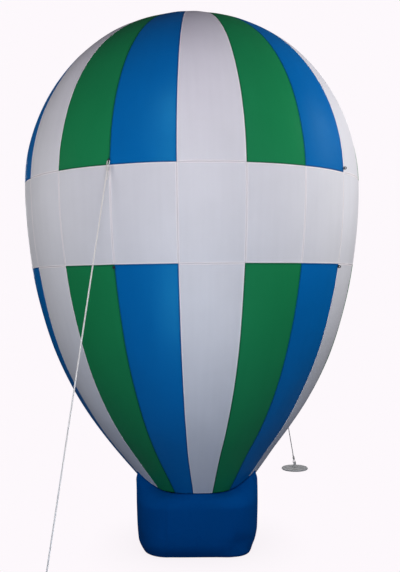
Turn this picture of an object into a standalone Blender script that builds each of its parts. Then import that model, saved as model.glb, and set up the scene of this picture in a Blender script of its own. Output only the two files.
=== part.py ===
"""Standing inflatable in the shape of a hot-air balloon, about three metres tall.

Metres, +Z up, origin on the ground at the middle of the base.
The front looks along -Y.  An azimuth is counted from the front towards +X.
"""

import math

import bpy
from mathutils import Matrix, Vector

# Shared small sizes
GAP = 0.0003
FABRIC = 0.010

# Gores, counted to the right from the seam nearest the front
GORE_COUNT = 18
GORE_ANGLE = math.radians(360 / GORE_COUNT)
FIRST_SEAM = math.radians(-3.8)
COLUMNS_PER_GORE = 3
COLUMN_COUNT = GORE_COUNT * COLUMNS_PER_GORE
GORE_COLOURS = ("white_fabric", "green_fabric", "blue_fabric")

# Meridian of the envelope, four arcs that run into each other and a cone
ENVELOPE_RADIUS = 1.000
EQUATOR_Z = 2.146
SHOULDER_RADIUS = 1.106
SHOULDER_END = math.radians(34.2)
BELLY_RADIUS = 2.884
BELLY_END = math.radians(16.4)
TAPER_RADIUS = 2.032
TAPER_END = math.radians(37.6)
CROWN_PATCH_RADIUS = 0.070

# White band around the equator
BAND_TOP_Z = 2.176
BAND_BOTTOM_Z = 1.678

# Base, a box with round corners and a round lower edge
BASE_HALF_WIDTH = 0.350
BASE_CORNER_RADIUS = 0.180
BASE_EDGE_RADIUS = 0.085

# Seam between the base and the lower gores: degrees from the front or the back, distance
# from the axis.  Beyond the last one it lies on the base's outline.
NECK_SEAM = (
    (0, 0.320),
    (25, 0.316),
    (40, 0.322),
    (47, 0.339),
    (54, 0.358),
    (62, 0.396),
)

# Shoulder of the base: share of the way up to the seam, share of the way in to it
WALL_SHOULDER_Z = 0.290
WALL_SHOULDER = (
    (0.0, 0.0),
    (0.5, 0.3),
    (1.0, 1.0),
)

# Webbing tabs with an eye, sewn into gore seams
TAB_EYE_RADIUS = 0.005
TAB_RIM_RADIUS = 0.008
TAB_EYE_OUT = 0.009
TAB_THICKNESS = 0.004
GUY_TAB_ABOVE_BAND = 0.022
BANNER_TAB_BELOW_BAND = 0.013

# Guy ropes and the floor weights that hold them
ROPE_DIAMETER = 0.008
ROPE_SIDES = 12
WEIGHT_RADIUS = 0.110
WEIGHT_HEIGHT = 0.014
LUG_EYE_RADIUS = 0.011
LUG_RIM_RADIUS = 0.021
LUG_EYE_Z = 0.042
LUG_THICKNESS = 0.010

# Blower behind the base, its axis along X
BLOWER_Y = 0.800
BLOWER_Z = 0.150
SCROLL_LARGE_RADIUS = 0.130
SCROLL_SMALL_RADIUS = 0.100
SCROLL_END = math.radians(-170)
SCROLL_STEPS = 13
HOUSING_HALF_WIDTH = 0.0825
HOUSING_WALL = 0.005
OUTLET_Y = 0.660
OUTLET_BOTTOM_Z = 0.120
SPIGOT_RADIUS = 0.0797
SPIGOT_BORE = 0.072
SPIGOT_LENGTH = 0.060
INTAKE_RADIUS = 0.065
SLEEVE_BORE = SPIGOT_RADIUS + GAP
SLEEVE_RADIUS = 0.086
IMPELLER_RADIUS = 0.084
IMPELLER_HALF_WIDTH = 0.050
IMPELLER_PLATE = 0.004
IMPELLER_HUB = 0.022
VANE_COUNT = 12
VANE_HALF_THICKNESS = 0.0015
SHAFT_RADIUS = 0.008
SHAFT_HOLE_RADIUS = 0.012
GUARD_THICKNESS = 0.004
ROUND_SIDES = 24

# Motor: stations along the fan's axis, each with its radius, and the gland of its cable
MOTOR_PROFILE = (
    (-0.200, 0.038),
    (-0.190, 0.050),
    (-0.094, 0.050),
    (-0.094, 0.062),
)
GLAND_RADIUS = 0.008
GLAND_END = -0.218
GLAND_START = -0.185
GLAND_PLACE = (0.018, -0.014)

# Blower's stand, its sizes taken from the fan's axis
STAND_HALF_WIDTH = 0.078
STAND_BACK = 0.110
STAND_FRONT = -0.100
SOLE_THICKNESS = 0.010
SADDLE_TOP = -0.070
SADDLE_LIP = 0.012
SADDLE_INSIDE = 0.050

# Carrying handle on the outlet
HANDLE_Y = -0.050
HANDLE_HALF_LENGTH = 0.062
HANDLE_HALF_WIDTH = 0.013
HANDLE_RISE = 0.052
HANDLE_BAR = 0.014
HANDLE_BEND = 0.020

# Material, colour, roughness, metallic
MATERIALS = (
    ("white_fabric", (0.66, 0.65, 0.68), 0.62, 0.0),
    ("green_fabric", (0.014, 0.20, 0.070), 0.58, 0.0),
    ("blue_fabric", (0.005, 0.12, 0.38), 0.58, 0.0),
    ("base_fabric", (0.003, 0.035, 0.16), 0.62, 0.0),
    ("black_webbing", (0.012, 0.012, 0.014), 0.80, 0.0),
    ("white_rope", (0.72, 0.70, 0.64), 0.85, 0.0),
    ("black_plastic", (0.018, 0.018, 0.020), 0.48, 0.0),
    ("grey_plastic", (0.16, 0.165, 0.17), 0.50, 0.0),
    ("steel", (0.42, 0.42, 0.43), 0.38, 0.9),
    ("weight_steel", (0.62, 0.62, 0.63), 0.45, 0.0),
    ("black_rubber", (0.016, 0.016, 0.016), 0.85, 0.0),
)

# Guy rope, seam that carries it, radius of its weight from the axis
GUY_ROPES = (
    ("front_left", -1, 1.665),
    ("back_right", 8, 2.055),
)

# Corner of the banner field, seam that carries its two tabs
TAB_CORNERS = (
    ("front_left", -1),
    ("front_right", 3),
    ("back_right", 8),
    ("back_left", 12),
)


# Sizes that follow from the driving dimensions
SHOULDER_CENTRE = (ENVELOPE_RADIUS - SHOULDER_RADIUS, EQUATOR_Z)
CROWN_RADIUS = SHOULDER_RADIUS + SHOULDER_CENTRE[0] / math.cos(SHOULDER_END)
CROWN_CENTRE = (0.0, EQUATOR_Z + (SHOULDER_RADIUS - CROWN_RADIUS) * math.sin(SHOULDER_END))
BELLY_CENTRE = (ENVELOPE_RADIUS - BELLY_RADIUS, EQUATOR_Z)
TAPER_CENTRE = (
    BELLY_CENTRE[0] + (BELLY_RADIUS - TAPER_RADIUS) * math.cos(BELLY_END),
    BELLY_CENTRE[1] - (BELLY_RADIUS - TAPER_RADIUS) * math.sin(BELLY_END),
)
CROWN_PATCH_ANGLE = math.acos(CROWN_PATCH_RADIUS / CROWN_RADIUS)
BAND_TOP_ANGLE = math.asin((BAND_TOP_Z - EQUATOR_Z) / SHOULDER_RADIUS)
BAND_BOTTOM_ANGLE = -math.asin((EQUATOR_Z - BAND_BOTTOM_Z) / BELLY_RADIUS)
GUY_TAB_ANGLE = math.asin((BAND_TOP_Z + GUY_TAB_ABOVE_BAND - EQUATOR_Z) / SHOULDER_RADIUS)
BANNER_TAB_ANGLE = -math.asin((EQUATOR_Z - BAND_BOTTOM_Z + BANNER_TAB_BELOW_BAND) / BELLY_RADIUS)
OUTLET_TOP_Z = BLOWER_Z + SCROLL_LARGE_RADIUS
OUTLET_Z = (OUTLET_BOTTOM_Z + OUTLET_TOP_Z) / 2


def clear_scene():
    """Removes every object that the file opens with."""
    for old in list(bpy.data.objects):
        bpy.data.objects.remove(old)


def make_materials():
    """One plain material for each finish."""
    made = {}
    for name, colour, roughness, metallic in MATERIALS:
        material = bpy.data.materials.new(name)
        material.use_nodes = True
        shader = material.node_tree.nodes["Principled BSDF"]
        shader.inputs["Base Color"].default_value = (*colour, 1.0)
        shader.inputs["Roughness"].default_value = roughness
        shader.inputs["Metallic"].default_value = metallic
        made[name] = material
    return made


def add_object(name, points, faces, finish, place=None, parent=None):
    """A named mesh object, its points given in its own place."""
    mesh = bpy.data.meshes.new(name)
    mesh.from_pydata(points, [], faces)
    mesh.materials.append(finish.copy())
    mesh.shade_smooth()
    mesh.set_sharp_from_angle(angle=math.radians(30))
    made = bpy.data.objects.new(name, mesh)
    bpy.context.scene.collection.objects.link(made)
    made.parent = parent
    if place is not None:
        made.matrix_local = place
    return made


def as_guide(guide):
    """Marks an object that only shapes another one."""
    guide.hide_render = True
    guide.display_type = "WIRE"


def combine(target, guide, operation):
    """Cuts a guide from a target or joins it on."""
    as_guide(guide)
    step = target.modifiers.new(guide.name, "BOOLEAN")
    step.operation = operation
    step.object = guide


def polar(radius, azimuth, height):
    """A point at an azimuth around the balloon's axis."""
    return (radius * math.sin(azimuth), -radius * math.cos(azimuth), height)


def spread(first, last, steps):
    """Evenly spaced values, both ends included."""
    return [first + (last - first) * i / steps for i in range(steps + 1)]


def on_arc(centre, radius, angle):
    """A station of the meridian: distance from the axis, height, angle of the normal."""
    return (centre[0] + radius * math.cos(angle), centre[1] + radius * math.sin(angle), angle)


def inset_station(station, depth):
    """The same station that much further inside the skin."""
    radius, height, angle = station
    return (radius - depth * math.cos(angle), height - depth * math.sin(angle), angle)


def base_outline(azimuth, inset):
    """Distance from the axis to the rounded square, moved inwards by an inset."""
    half = BASE_HALF_WIDTH - inset
    corner = BASE_CORNER_RADIUS - inset
    across, along = sorted((abs(math.sin(azimuth)), abs(math.cos(azimuth))))
    flat = half / along
    if flat * across <= half - corner:
        return flat
    middle = half - corner
    reach = middle * (across + along)
    return reach + math.sqrt(reach * reach - 2 * middle * middle + corner * corner)


def neck_reach(azimuth, inset):
    """Distance from the axis to the seam between the base and the lower gores."""
    outline = base_outline(azimuth, inset)
    turn = math.degrees(math.atan2(abs(math.sin(azimuth)), abs(math.cos(azimuth))))
    for (low, start), (high, end) in zip(NECK_SEAM, NECK_SEAM[1:]):
        if low <= turn <= high:
            drawn = start + (end - start) * (turn - low) / (high - low) - inset
            return min(outline, drawn)
    return outline


def cone_height(radius, inset):
    """Height at which the cone's skin, inset by that much, has this radius."""
    start = inset_station(on_arc(TAPER_CENTRE, TAPER_RADIUS, -TAPER_END), inset)
    return start[1] - (start[0] - radius) / math.tan(TAPER_END)


def shell_faces(rows, columns, closed):
    """Faces of a thin shell, its outer points listed before its inner ones.

    The edges are triangles with the same diagonal, so that two mitred shells meet all along.
    """
    skin = rows * columns
    spans = columns if closed else columns - 1
    top = rows - 1

    def outer(i, j):
        return i * columns + j % columns

    def inner(i, j):
        return skin + i * columns + j % columns

    faces = []
    for j in range(spans):
        faces.append((inner(0, j), inner(0, j + 1), outer(0, j)))
        faces.append((inner(0, j + 1), outer(0, j + 1), outer(0, j)))
        faces.append((outer(top, j), outer(top, j + 1), inner(top, j + 1)))
        faces.append((outer(top, j), inner(top, j + 1), inner(top, j)))
        for i in range(top):
            faces.append((outer(i, j), outer(i, j + 1), outer(i + 1, j + 1), outer(i + 1, j)))
            faces.append((inner(i + 1, j), inner(i + 1, j + 1), inner(i, j + 1), inner(i, j)))
    if not closed:
        side = columns - 1
        for i in range(top):
            faces.append((outer(i, 0), outer(i + 1, 0), inner(i + 1, 0), inner(i, 0)))
            faces.append((inner(i, side), inner(i + 1, side), outer(i + 1, side), outer(i, side)))
    return faces


def gore_azimuths(index):
    """Columns of one gore, each with the side that it gives way to at a seam."""
    start = FIRST_SEAM + index * GORE_ANGLE
    sides = [1] + [0] * (COLUMNS_PER_GORE - 1) + [-1]
    return list(zip(spread(start, start + GORE_ANGLE, COLUMNS_PER_GORE), sides))


def skin_points(stations, columns, depth):
    """Points of one skin, set back half a gap where a column lies at a seam."""
    points = []
    for station in stations:
        radius, height, _ = inset_station(station, depth)
        for azimuth, side in columns:
            points.append(polar(radius, azimuth + side * GAP / 2 / station[0], height))
    return points


def add_upper_gores(finishes):
    """Gores from the band up to the crown patch."""
    low = BAND_TOP_ANGLE + GAP / 2 / SHOULDER_RADIUS
    high = CROWN_PATCH_ANGLE - GAP / 2 / CROWN_RADIUS
    shoulder = [low] + spread(GUY_TAB_ANGLE, SHOULDER_END, 4)
    stations = [on_arc(SHOULDER_CENTRE, SHOULDER_RADIUS, a) for a in shoulder]
    crown = spread(SHOULDER_END, high, 7)[1:]
    stations += [on_arc(CROWN_CENTRE, CROWN_RADIUS, a) for a in crown]
    faces = shell_faces(len(stations), COLUMNS_PER_GORE + 1, False)
    for index in range(GORE_COUNT):
        columns = gore_azimuths(index)
        points = skin_points(stations, columns, 0.0) + skin_points(stations, columns, FABRIC)
        finish = finishes[GORE_COLOURS[index % len(GORE_COLOURS)]]
        add_object(f"upper_gore_{index + 1:02d}", points, faces, finish)


def add_lower_gores(finishes):
    """Gores from the base's upper edge up to the band."""
    high = BAND_BOTTOM_ANGLE - GAP / 2 / BELLY_RADIUS
    stations = [on_arc(TAPER_CENTRE, TAPER_RADIUS, a) for a in spread(-TAPER_END, -BELLY_END, 5)]
    belly = spread(-BELLY_END, BANNER_TAB_ANGLE, 2)[1:] + [high]
    stations += [on_arc(BELLY_CENTRE, BELLY_RADIUS, a) for a in belly]
    faces = shell_faces(len(stations) + 1, COLUMNS_PER_GORE + 1, False)
    for index in range(GORE_COUNT):
        columns = gore_azimuths(index)
        points = []
        for depth in (0.0, FABRIC):
            for azimuth, side in columns:
                radius = neck_reach(azimuth, depth)
                turned = azimuth + side * GAP / 2 / radius
                points.append(polar(radius, turned, cone_height(radius, depth) + GAP / 2))
            points += skin_points(stations, columns, depth)
        finish = finishes[GORE_COLOURS[index % len(GORE_COLOURS)]]
        add_object(f"lower_gore_{index + 1:02d}", points, faces, finish)


def ring_columns():
    """Columns all the way round, in line with the gores' columns."""
    step = GORE_ANGLE / COLUMNS_PER_GORE
    return [(FIRST_SEAM + j * step, 0) for j in range(COLUMN_COUNT)]


def add_equator_band(finishes):
    """The white band between the upper and the lower gores."""
    low = BAND_BOTTOM_ANGLE + GAP / 2 / BELLY_RADIUS
    high = BAND_TOP_ANGLE - GAP / 2 / SHOULDER_RADIUS
    stations = [on_arc(BELLY_CENTRE, BELLY_RADIUS, a) for a in spread(low, 0.0, 3)]
    stations.append(on_arc(SHOULDER_CENTRE, SHOULDER_RADIUS, high))
    columns = ring_columns()
    points = skin_points(stations, columns, 0.0) + skin_points(stations, columns, FABRIC)
    faces = shell_faces(len(stations), COLUMN_COUNT, True)
    add_object("equator_band", points, faces, finishes["white_fabric"])


def add_crown_patch(finishes):
    """Round patch that closes the gores' tips."""
    rim = CROWN_PATCH_ANGLE + GAP / 2 / CROWN_RADIUS
    stations = [on_arc(CROWN_CENTRE, CROWN_RADIUS, a) for a in (rim, math.radians(88))]
    columns = ring_columns()
    points = skin_points(stations, columns, 0.0) + skin_points(stations, columns, FABRIC)
    outer_top = tuple(range(COLUMN_COUNT, 2 * COLUMN_COUNT))
    inner_top = tuple(range(3 * COLUMN_COUNT, 4 * COLUMN_COUNT))
    faces = [f for f in shell_faces(2, COLUMN_COUNT, True)
             if not (set(f) & set(outer_top) and set(f) & set(inner_top))]
    faces += [outer_top, inner_top[::-1]]
    add_object("crown_patch", points, faces, finishes["white_fabric"])


def add_base_wall(finishes):
    """Wall of the base: round lower edge, upright part, shoulder and the hole for the sleeve."""
    columns = ring_columns()
    turns = spread(math.radians(90), 0.0, 4)
    points = []
    for depth in (0.0, FABRIC):
        bend = BASE_EDGE_RADIUS - depth
        for turn in turns:
            inset = BASE_EDGE_RADIUS - bend * math.cos(turn)
            height = BASE_EDGE_RADIUS - bend * math.sin(turn)
            points += [polar(base_outline(a, inset), a, height) for a, _ in columns]
        for up, inward in WALL_SHOULDER:
            for azimuth, _ in columns:
                outline = base_outline(azimuth, depth)
                neck = neck_reach(azimuth, depth)
                top = cone_height(neck, depth) - GAP / 2
                height = WALL_SHOULDER_Z + (top - WALL_SHOULDER_Z) * up
                points.append(polar(outline + (neck - outline) * inward, azimuth, height))
    faces = shell_faces(len(turns) + len(WALL_SHOULDER), COLUMN_COUNT, True)
    wall = add_object("base_wall", points, faces, finishes["base_fabric"])
    cutter = add_turned("sleeve_hole", ((0.25, SLEEVE_BORE), (0.45, SLEEVE_BORE)),
                        finishes["base_fabric"], along_y((0.0, 0.0, OUTLET_Z)))
    combine(wall, cutter, "DIFFERENCE")


def add_base_floor(finishes):
    """Flat bottom that the balloon stands on."""
    inset = BASE_EDGE_RADIUS + GAP
    azimuths = [a for a, _ in ring_columns()]
    outline = [polar(base_outline(a, inset), a, 0.0)[:2] for a in azimuths]
    place = Matrix.Identity(4)
    add_plate("base_floor", outline, (0.0, FABRIC), finishes["base_fabric"], place)


def add_plate(name, outline, levels, finish, place, parent=None):
    """An outline that runs anticlockwise, extruded along its own Z between two levels."""
    count = len(outline)
    points = [(x, y, level) for level in levels for x, y in outline]
    faces = [tuple(range(count))[::-1], tuple(range(count, 2 * count))]
    for j in range(count):
        k = (j + 1) % count
        faces.append((j, k, count + k, count + j))
    return add_object(name, points, faces, finish, place, parent)


def add_turned(name, profile, finish, place, parent=None):
    """A profile of stations along Z, each with its radius, turned and closed at both ends."""
    turns = [2 * math.pi * j / ROUND_SIDES for j in range(ROUND_SIDES)]
    points = [(r * math.cos(t), r * math.sin(t), z) for z, r in profile for t in turns]
    faces = [tuple(range(ROUND_SIDES))[::-1]]
    last = (len(profile) - 1) * ROUND_SIDES
    faces.append(tuple(range(last, last + ROUND_SIDES)))
    for i in range(len(profile) - 1):
        for j in range(ROUND_SIDES):
            k = (j + 1) % ROUND_SIDES
            low, high = i * ROUND_SIDES, (i + 1) * ROUND_SIDES
            faces.append((low + j, low + k, high + k, high + j))
    return add_object(name, points, faces, finish, place, parent)


def add_tube(name, outer, inner, finish, place, parent=None):
    """A turned tube, its outer and inner skin given as stations along Z with radii."""
    turns = [2 * math.pi * j / ROUND_SIDES for j in range(ROUND_SIDES)]
    points = []
    for profile in (outer, inner):
        points += [(r * math.cos(t), r * math.sin(t), z) for z, r in profile for t in turns]
    faces = shell_faces(len(outer), ROUND_SIDES, True)
    return add_object(name, points, faces, finish, place, parent)


def along_x(origin):
    """A place whose own Z runs along +X, its X along +Y and its Y along +Z."""
    turn = Matrix(((0, 0, 1), (1, 0, 0), (0, 1, 0))).to_4x4()
    return Matrix.Translation(origin) @ turn


def along_y(origin):
    """A place whose own Z runs along +Y, its X along +Z and its Y along +X."""
    turn = Matrix(((0, 1, 0), (0, 0, 1), (1, 0, 0))).to_4x4()
    return Matrix.Translation(origin) @ turn


def eye_plate_outline(rim_radius, eye_radius, foot):
    """Rim and eye of a lug: round at the far end, square at its foot, the eye at 0, 0."""
    rim = [(rim_radius * math.cos(a), rim_radius * math.sin(a))
           for a in spread(math.radians(-90), math.radians(90), 8)]
    rim += [(-foot, rim_radius), (-foot, 0.0), (-foot, -rim_radius)]
    eye = []
    for x, y in rim:
        reach = math.hypot(x, y)
        eye.append((eye_radius * x / reach, eye_radius * y / reach))
    return rim, eye


def add_eye_plate(name, rim_radius, eye_radius, foot, thickness, finish, place):
    """A flat lug with an eye, extruded both ways along its own Z."""
    rim, eye = eye_plate_outline(rim_radius, eye_radius, foot)
    points = [(x, y, -thickness / 2) for x, y in rim] + [(x, y, thickness / 2) for x, y in rim]
    points += [(x, y, -thickness / 2) for x, y in eye] + [(x, y, thickness / 2) for x, y in eye]
    faces = shell_faces(2, len(rim), True)
    return add_object(name, points, faces, finish, place)


def guy_tab_station():
    """Where on the meridian the guy tabs are sewn, just above the band."""
    return on_arc(SHOULDER_CENTRE, SHOULDER_RADIUS, GUY_TAB_ANGLE)


def banner_tab_station():
    """Where on the meridian the banner tabs are sewn, just below the band."""
    return on_arc(BELLY_CENTRE, BELLY_RADIUS, BANNER_TAB_ANGLE)


def tab_place(seam, station):
    """Place of a tab's eye: its X points out of the skin, its Y up along the seam."""
    radius, height, angle = station
    azimuth = FIRST_SEAM + seam * GORE_ANGLE
    outward = Vector(polar(math.cos(angle), azimuth, math.sin(angle)))
    upward = Vector(polar(-math.sin(angle), azimuth, math.cos(angle)))
    side = outward.cross(upward)
    eye = Vector(polar(radius, azimuth, height)) + outward * (GAP + TAB_EYE_OUT)
    turn = Matrix((outward, upward, side)).transposed().to_4x4()
    return Matrix.Translation(eye) @ turn


def add_tabs(finishes):
    """Webbing tabs for the guy ropes and for a banner's corners."""
    for kind, station in (("guy", guy_tab_station()), ("banner", banner_tab_station())):
        for corner, seam in TAB_CORNERS:
            add_eye_plate(f"{kind}_tab_{corner}", TAB_RIM_RADIUS, TAB_EYE_RADIUS, TAB_EYE_OUT,
                          TAB_THICKNESS, finishes["black_webbing"], tab_place(seam, station))


def lug_place(seam, radius):
    """Place of a weight's eye: its X points up, its Y towards the balloon."""
    azimuth = FIRST_SEAM + seam * GORE_ANGLE
    upward = Vector((0.0, 0.0, 1.0))
    inward = Vector(polar(-1.0, azimuth, 0.0))
    turn = Matrix((upward, inward, upward.cross(inward))).transposed().to_4x4()
    return Matrix.Translation(polar(radius, azimuth, LUG_EYE_Z)) @ turn


def add_guy_ropes(finishes):
    """Taut ropes from the guy tabs to weights on the floor."""
    for name, seam, radius in GUY_ROPES:
        top = tab_place(seam, guy_tab_station()).translation
        low = lug_place(seam, radius).translation
        line = (low - top).normalized()
        start = top + line * (TAB_RIM_RADIUS + GAP)
        end = low - line * (LUG_RIM_RADIUS + GAP)
        place = Matrix.Translation(start) @ line.to_track_quat("Z", "X").to_matrix().to_4x4()
        half = ROPE_DIAMETER / 2
        rope = [(half * math.cos(t), half * math.sin(t))
                for t in spread(0.0, 2 * math.pi, ROPE_SIDES)[:-1]]
        add_plate(f"guy_rope_{name}", rope, (0.0, (end - start).length),
                  finishes["white_rope"], place)
        add_weight(name, seam, radius, finishes)


def add_weight(name, seam, radius, finishes):
    """Round floor weight with an upright lug."""
    eye_place = lug_place(seam, radius)
    foot = eye_place.translation.copy()
    foot.z = 0.0
    profile = ((0.0, WEIGHT_RADIUS), (WEIGHT_HEIGHT * 0.6, WEIGHT_RADIUS),
               (WEIGHT_HEIGHT, WEIGHT_RADIUS - WEIGHT_HEIGHT * 0.4))
    weight = add_turned(f"guy_weight_{name}", profile, finishes["weight_steel"],
                        Matrix.Translation(foot))
    lug_foot = LUG_EYE_Z - WEIGHT_HEIGHT / 2
    lug = add_eye_plate(f"lug_{name}", LUG_RIM_RADIUS, LUG_EYE_RADIUS, lug_foot, LUG_THICKNESS,
                        finishes["weight_steel"], eye_place)
    combine(weight, lug, "UNION")


def scroll_outline(inset):
    """Outline of the blower's scroll and outlet, across and up from the fan's axis."""
    turns = spread(math.radians(90), SCROLL_END, SCROLL_STEPS)
    growth = (SCROLL_LARGE_RADIUS - SCROLL_SMALL_RADIUS) / SCROLL_STEPS
    scroll = []
    for step, turn in enumerate(turns):
        radius = SCROLL_LARGE_RADIUS - growth * step - inset
        scroll.append((radius * math.cos(turn), radius * math.sin(turn)))
    front = OUTLET_Y - BLOWER_Y + inset
    low = OUTLET_BOTTOM_Z - BLOWER_Z + inset
    return scroll + [(scroll[-1][0], low), (front, low), (front, OUTLET_TOP_Z - BLOWER_Z - inset)]


def add_blower_housing(axis, finishes):
    """Scroll housing with its outlet spigot, its intake and its shaft hole."""
    plastic = finishes["black_plastic"]
    middle = along_x((0.0, 0.0, 0.0))
    levels = (-HOUSING_HALF_WIDTH, HOUSING_HALF_WIDTH)
    housing = add_plate("blower_housing", scroll_outline(0.0)[::-1], levels, plastic, middle, axis)
    face = OUTLET_Y - BLOWER_Y
    outlet = along_y((0.0, 0.0, OUTLET_Z - BLOWER_Z))
    profile = ((face - SPIGOT_LENGTH, SPIGOT_RADIUS), (face + HOUSING_WALL / 2, SPIGOT_RADIUS))
    combine(housing, add_turned("spigot", profile, plastic, outlet, axis), "UNION")
    room = (-HOUSING_HALF_WIDTH + HOUSING_WALL, HOUSING_HALF_WIDTH - HOUSING_WALL)
    cavity = add_plate("housing_cavity", scroll_outline(HOUSING_WALL)[::-1], room, plastic,
                       middle, axis)
    combine(housing, cavity, "DIFFERENCE")
    bore = ((face - 2 * SPIGOT_LENGTH, SPIGOT_BORE), (face + 2 * HOUSING_WALL, SPIGOT_BORE))
    combine(housing, add_turned("spigot_bore", bore, plastic, outlet, axis), "DIFFERENCE")
    intake = ((0.0, INTAKE_RADIUS), (2 * HOUSING_HALF_WIDTH, INTAKE_RADIUS))
    combine(housing, add_turned("intake_cut", intake, plastic, middle, axis), "DIFFERENCE")
    shaft = ((-2 * HOUSING_HALF_WIDTH, SHAFT_HOLE_RADIUS), (0.0, SHAFT_HOLE_RADIUS))
    combine(housing, add_turned("shaft_cut", shaft, plastic, middle, axis), "DIFFERENCE")


def add_impeller(axis, finishes):
    """Fan wheel: a hub with straight vanes on a back plate."""
    outline = []
    edge = math.sqrt(IMPELLER_HUB ** 2 - VANE_HALF_THICKNESS ** 2)
    for vane in range(VANE_COUNT):
        turn = 2 * math.pi * vane / VANE_COUNT
        out = (math.cos(turn), math.sin(turn))
        for reach, side in ((edge, -1), (IMPELLER_RADIUS - 0.001, -1),
                            (IMPELLER_RADIUS - 0.001, 1), (edge, 1)):
            half = side * VANE_HALF_THICKNESS
            outline.append((reach * out[0] - half * out[1], reach * out[1] + half * out[0]))
    middle = along_x((0.0, 0.0, 0.0))
    levels = (-IMPELLER_HALF_WIDTH + IMPELLER_PLATE / 2, IMPELLER_HALF_WIDTH)
    wheel = add_plate("blower_impeller", outline, levels, finishes["grey_plastic"], middle, axis)
    profile = ((-IMPELLER_HALF_WIDTH, IMPELLER_RADIUS),
               (-IMPELLER_HALF_WIDTH + IMPELLER_PLATE, IMPELLER_RADIUS))
    plate = add_turned("impeller_plate", profile, finishes["grey_plastic"], middle, axis)
    combine(wheel, plate, "UNION")


def add_motor(axis, finishes):
    """Motor on the housing's closed side, with the wheel's shaft and a gland for its cable."""
    seat = -HOUSING_HALF_WIDTH - GAP
    profile = MOTOR_PROFILE + (
        (seat, MOTOR_PROFILE[-1][1]),
        (seat, SHAFT_RADIUS),
        (-IMPELLER_HALF_WIDTH - GAP, SHAFT_RADIUS),
    )
    motor = add_turned("blower_motor", profile, finishes["grey_plastic"], along_x((0, 0, 0)), axis)
    gland = ((GLAND_END, GLAND_RADIUS), (GLAND_START, GLAND_RADIUS))
    place = along_x((0.0, *GLAND_PLACE))
    combine(motor, add_turned("cable_gland", gland, finishes["grey_plastic"], place, axis), "UNION")


def add_intake_guard(axis, finishes):
    """Round wire guard in front of the fan wheel: a hub, three rings and four spokes."""
    radii = (0.012, 0.030, 0.034, 0.050, 0.054, 0.070, 0.078)
    solid_rings = (1, 3, 5)
    quarter = [math.radians(a) for a in (-3, 3, 17, 31, 45, 59, 73)]
    turns = [math.radians(90) * q + a for q in range(4) for a in quarter]
    columns = len(turns)
    levels = (HOUSING_HALF_WIDTH + GAP, HOUSING_HALF_WIDTH + GAP + GUARD_THICKNESS)
    points = [(r * math.cos(t), r * math.sin(t), z) for z in levels for r in radii for t in turns]
    layer = len(radii) * columns

    def filled(ring, column):
        return ring in solid_rings or column % len(quarter) == 0

    def at(level, ring, column):
        return level * layer + ring * columns + column % columns

    faces = [tuple(at(0, 0, j) for j in range(columns))[::-1],
             tuple(at(1, 0, j) for j in range(columns))]
    for ring in range(len(radii) - 1):
        for j in range(columns):
            inner_open = ring > 0 and not filled(ring - 1, j)
            if not filled(ring, j):
                if ring == 0 or filled(ring - 1, j):
                    faces.append((at(0, ring, j), at(0, ring, j + 1),
                                  at(1, ring, j + 1), at(1, ring, j)))
                continue
            faces.append((at(0, ring, j), at(0, ring, j + 1),
                          at(0, ring + 1, j + 1), at(0, ring + 1, j)))
            faces.append((at(1, ring, j + 1), at(1, ring, j),
                          at(1, ring + 1, j), at(1, ring + 1, j + 1)))
            if inner_open:
                faces.append((at(0, ring, j + 1), at(0, ring, j),
                              at(1, ring, j), at(1, ring, j + 1)))
            if ring == len(radii) - 2:
                faces.append((at(0, ring + 1, j), at(0, ring + 1, j + 1),
                              at(1, ring + 1, j + 1), at(1, ring + 1, j)))
            if not filled(ring, (j - 1) % columns):
                faces.append((at(0, ring, j), at(0, ring + 1, j),
                              at(1, ring + 1, j), at(1, ring, j)))
            if not filled(ring, (j + 1) % columns):
                faces.append((at(0, ring + 1, j + 1), at(0, ring, j + 1),
                              at(1, ring, j + 1), at(1, ring + 1, j + 1)))
    add_object("intake_guard", points, faces, finishes["steel"], along_x((0, 0, 0)), axis)


def add_blower_stand(axis, finishes):
    """Rubber foot with two saddles that follow the scroll."""
    scroll = scroll_outline(-GAP)[:SCROLL_STEPS + 1]
    saddle = [point for point in scroll if point[1] < SADDLE_TOP]
    floor = -BLOWER_Z
    sole = floor + SOLE_THICKNESS
    outline = [(STAND_BACK, floor), (STAND_BACK, sole), (saddle[0][0] + SADDLE_LIP, saddle[0][1])]
    outline += saddle
    outline += [(saddle[-1][0] - SADDLE_LIP, saddle[-1][1]), (STAND_FRONT, sole),
                (STAND_FRONT, floor)]
    middle = along_x((0.0, 0.0, 0.0))
    rubber = finishes["black_rubber"]
    levels = (-STAND_HALF_WIDTH, STAND_HALF_WIDTH)
    stand = add_plate("blower_stand", outline[::-1], levels, rubber, middle, axis)
    reach = 2 * STAND_BACK
    slot = [(-reach, sole), (reach, sole), (reach, 0.0), (-reach, 0.0)]
    inside = (-SADDLE_INSIDE, SADDLE_INSIDE)
    cutter = add_plate("saddle_gap", slot, inside, rubber, middle, axis)
    combine(stand, cutter, "DIFFERENCE")


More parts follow.
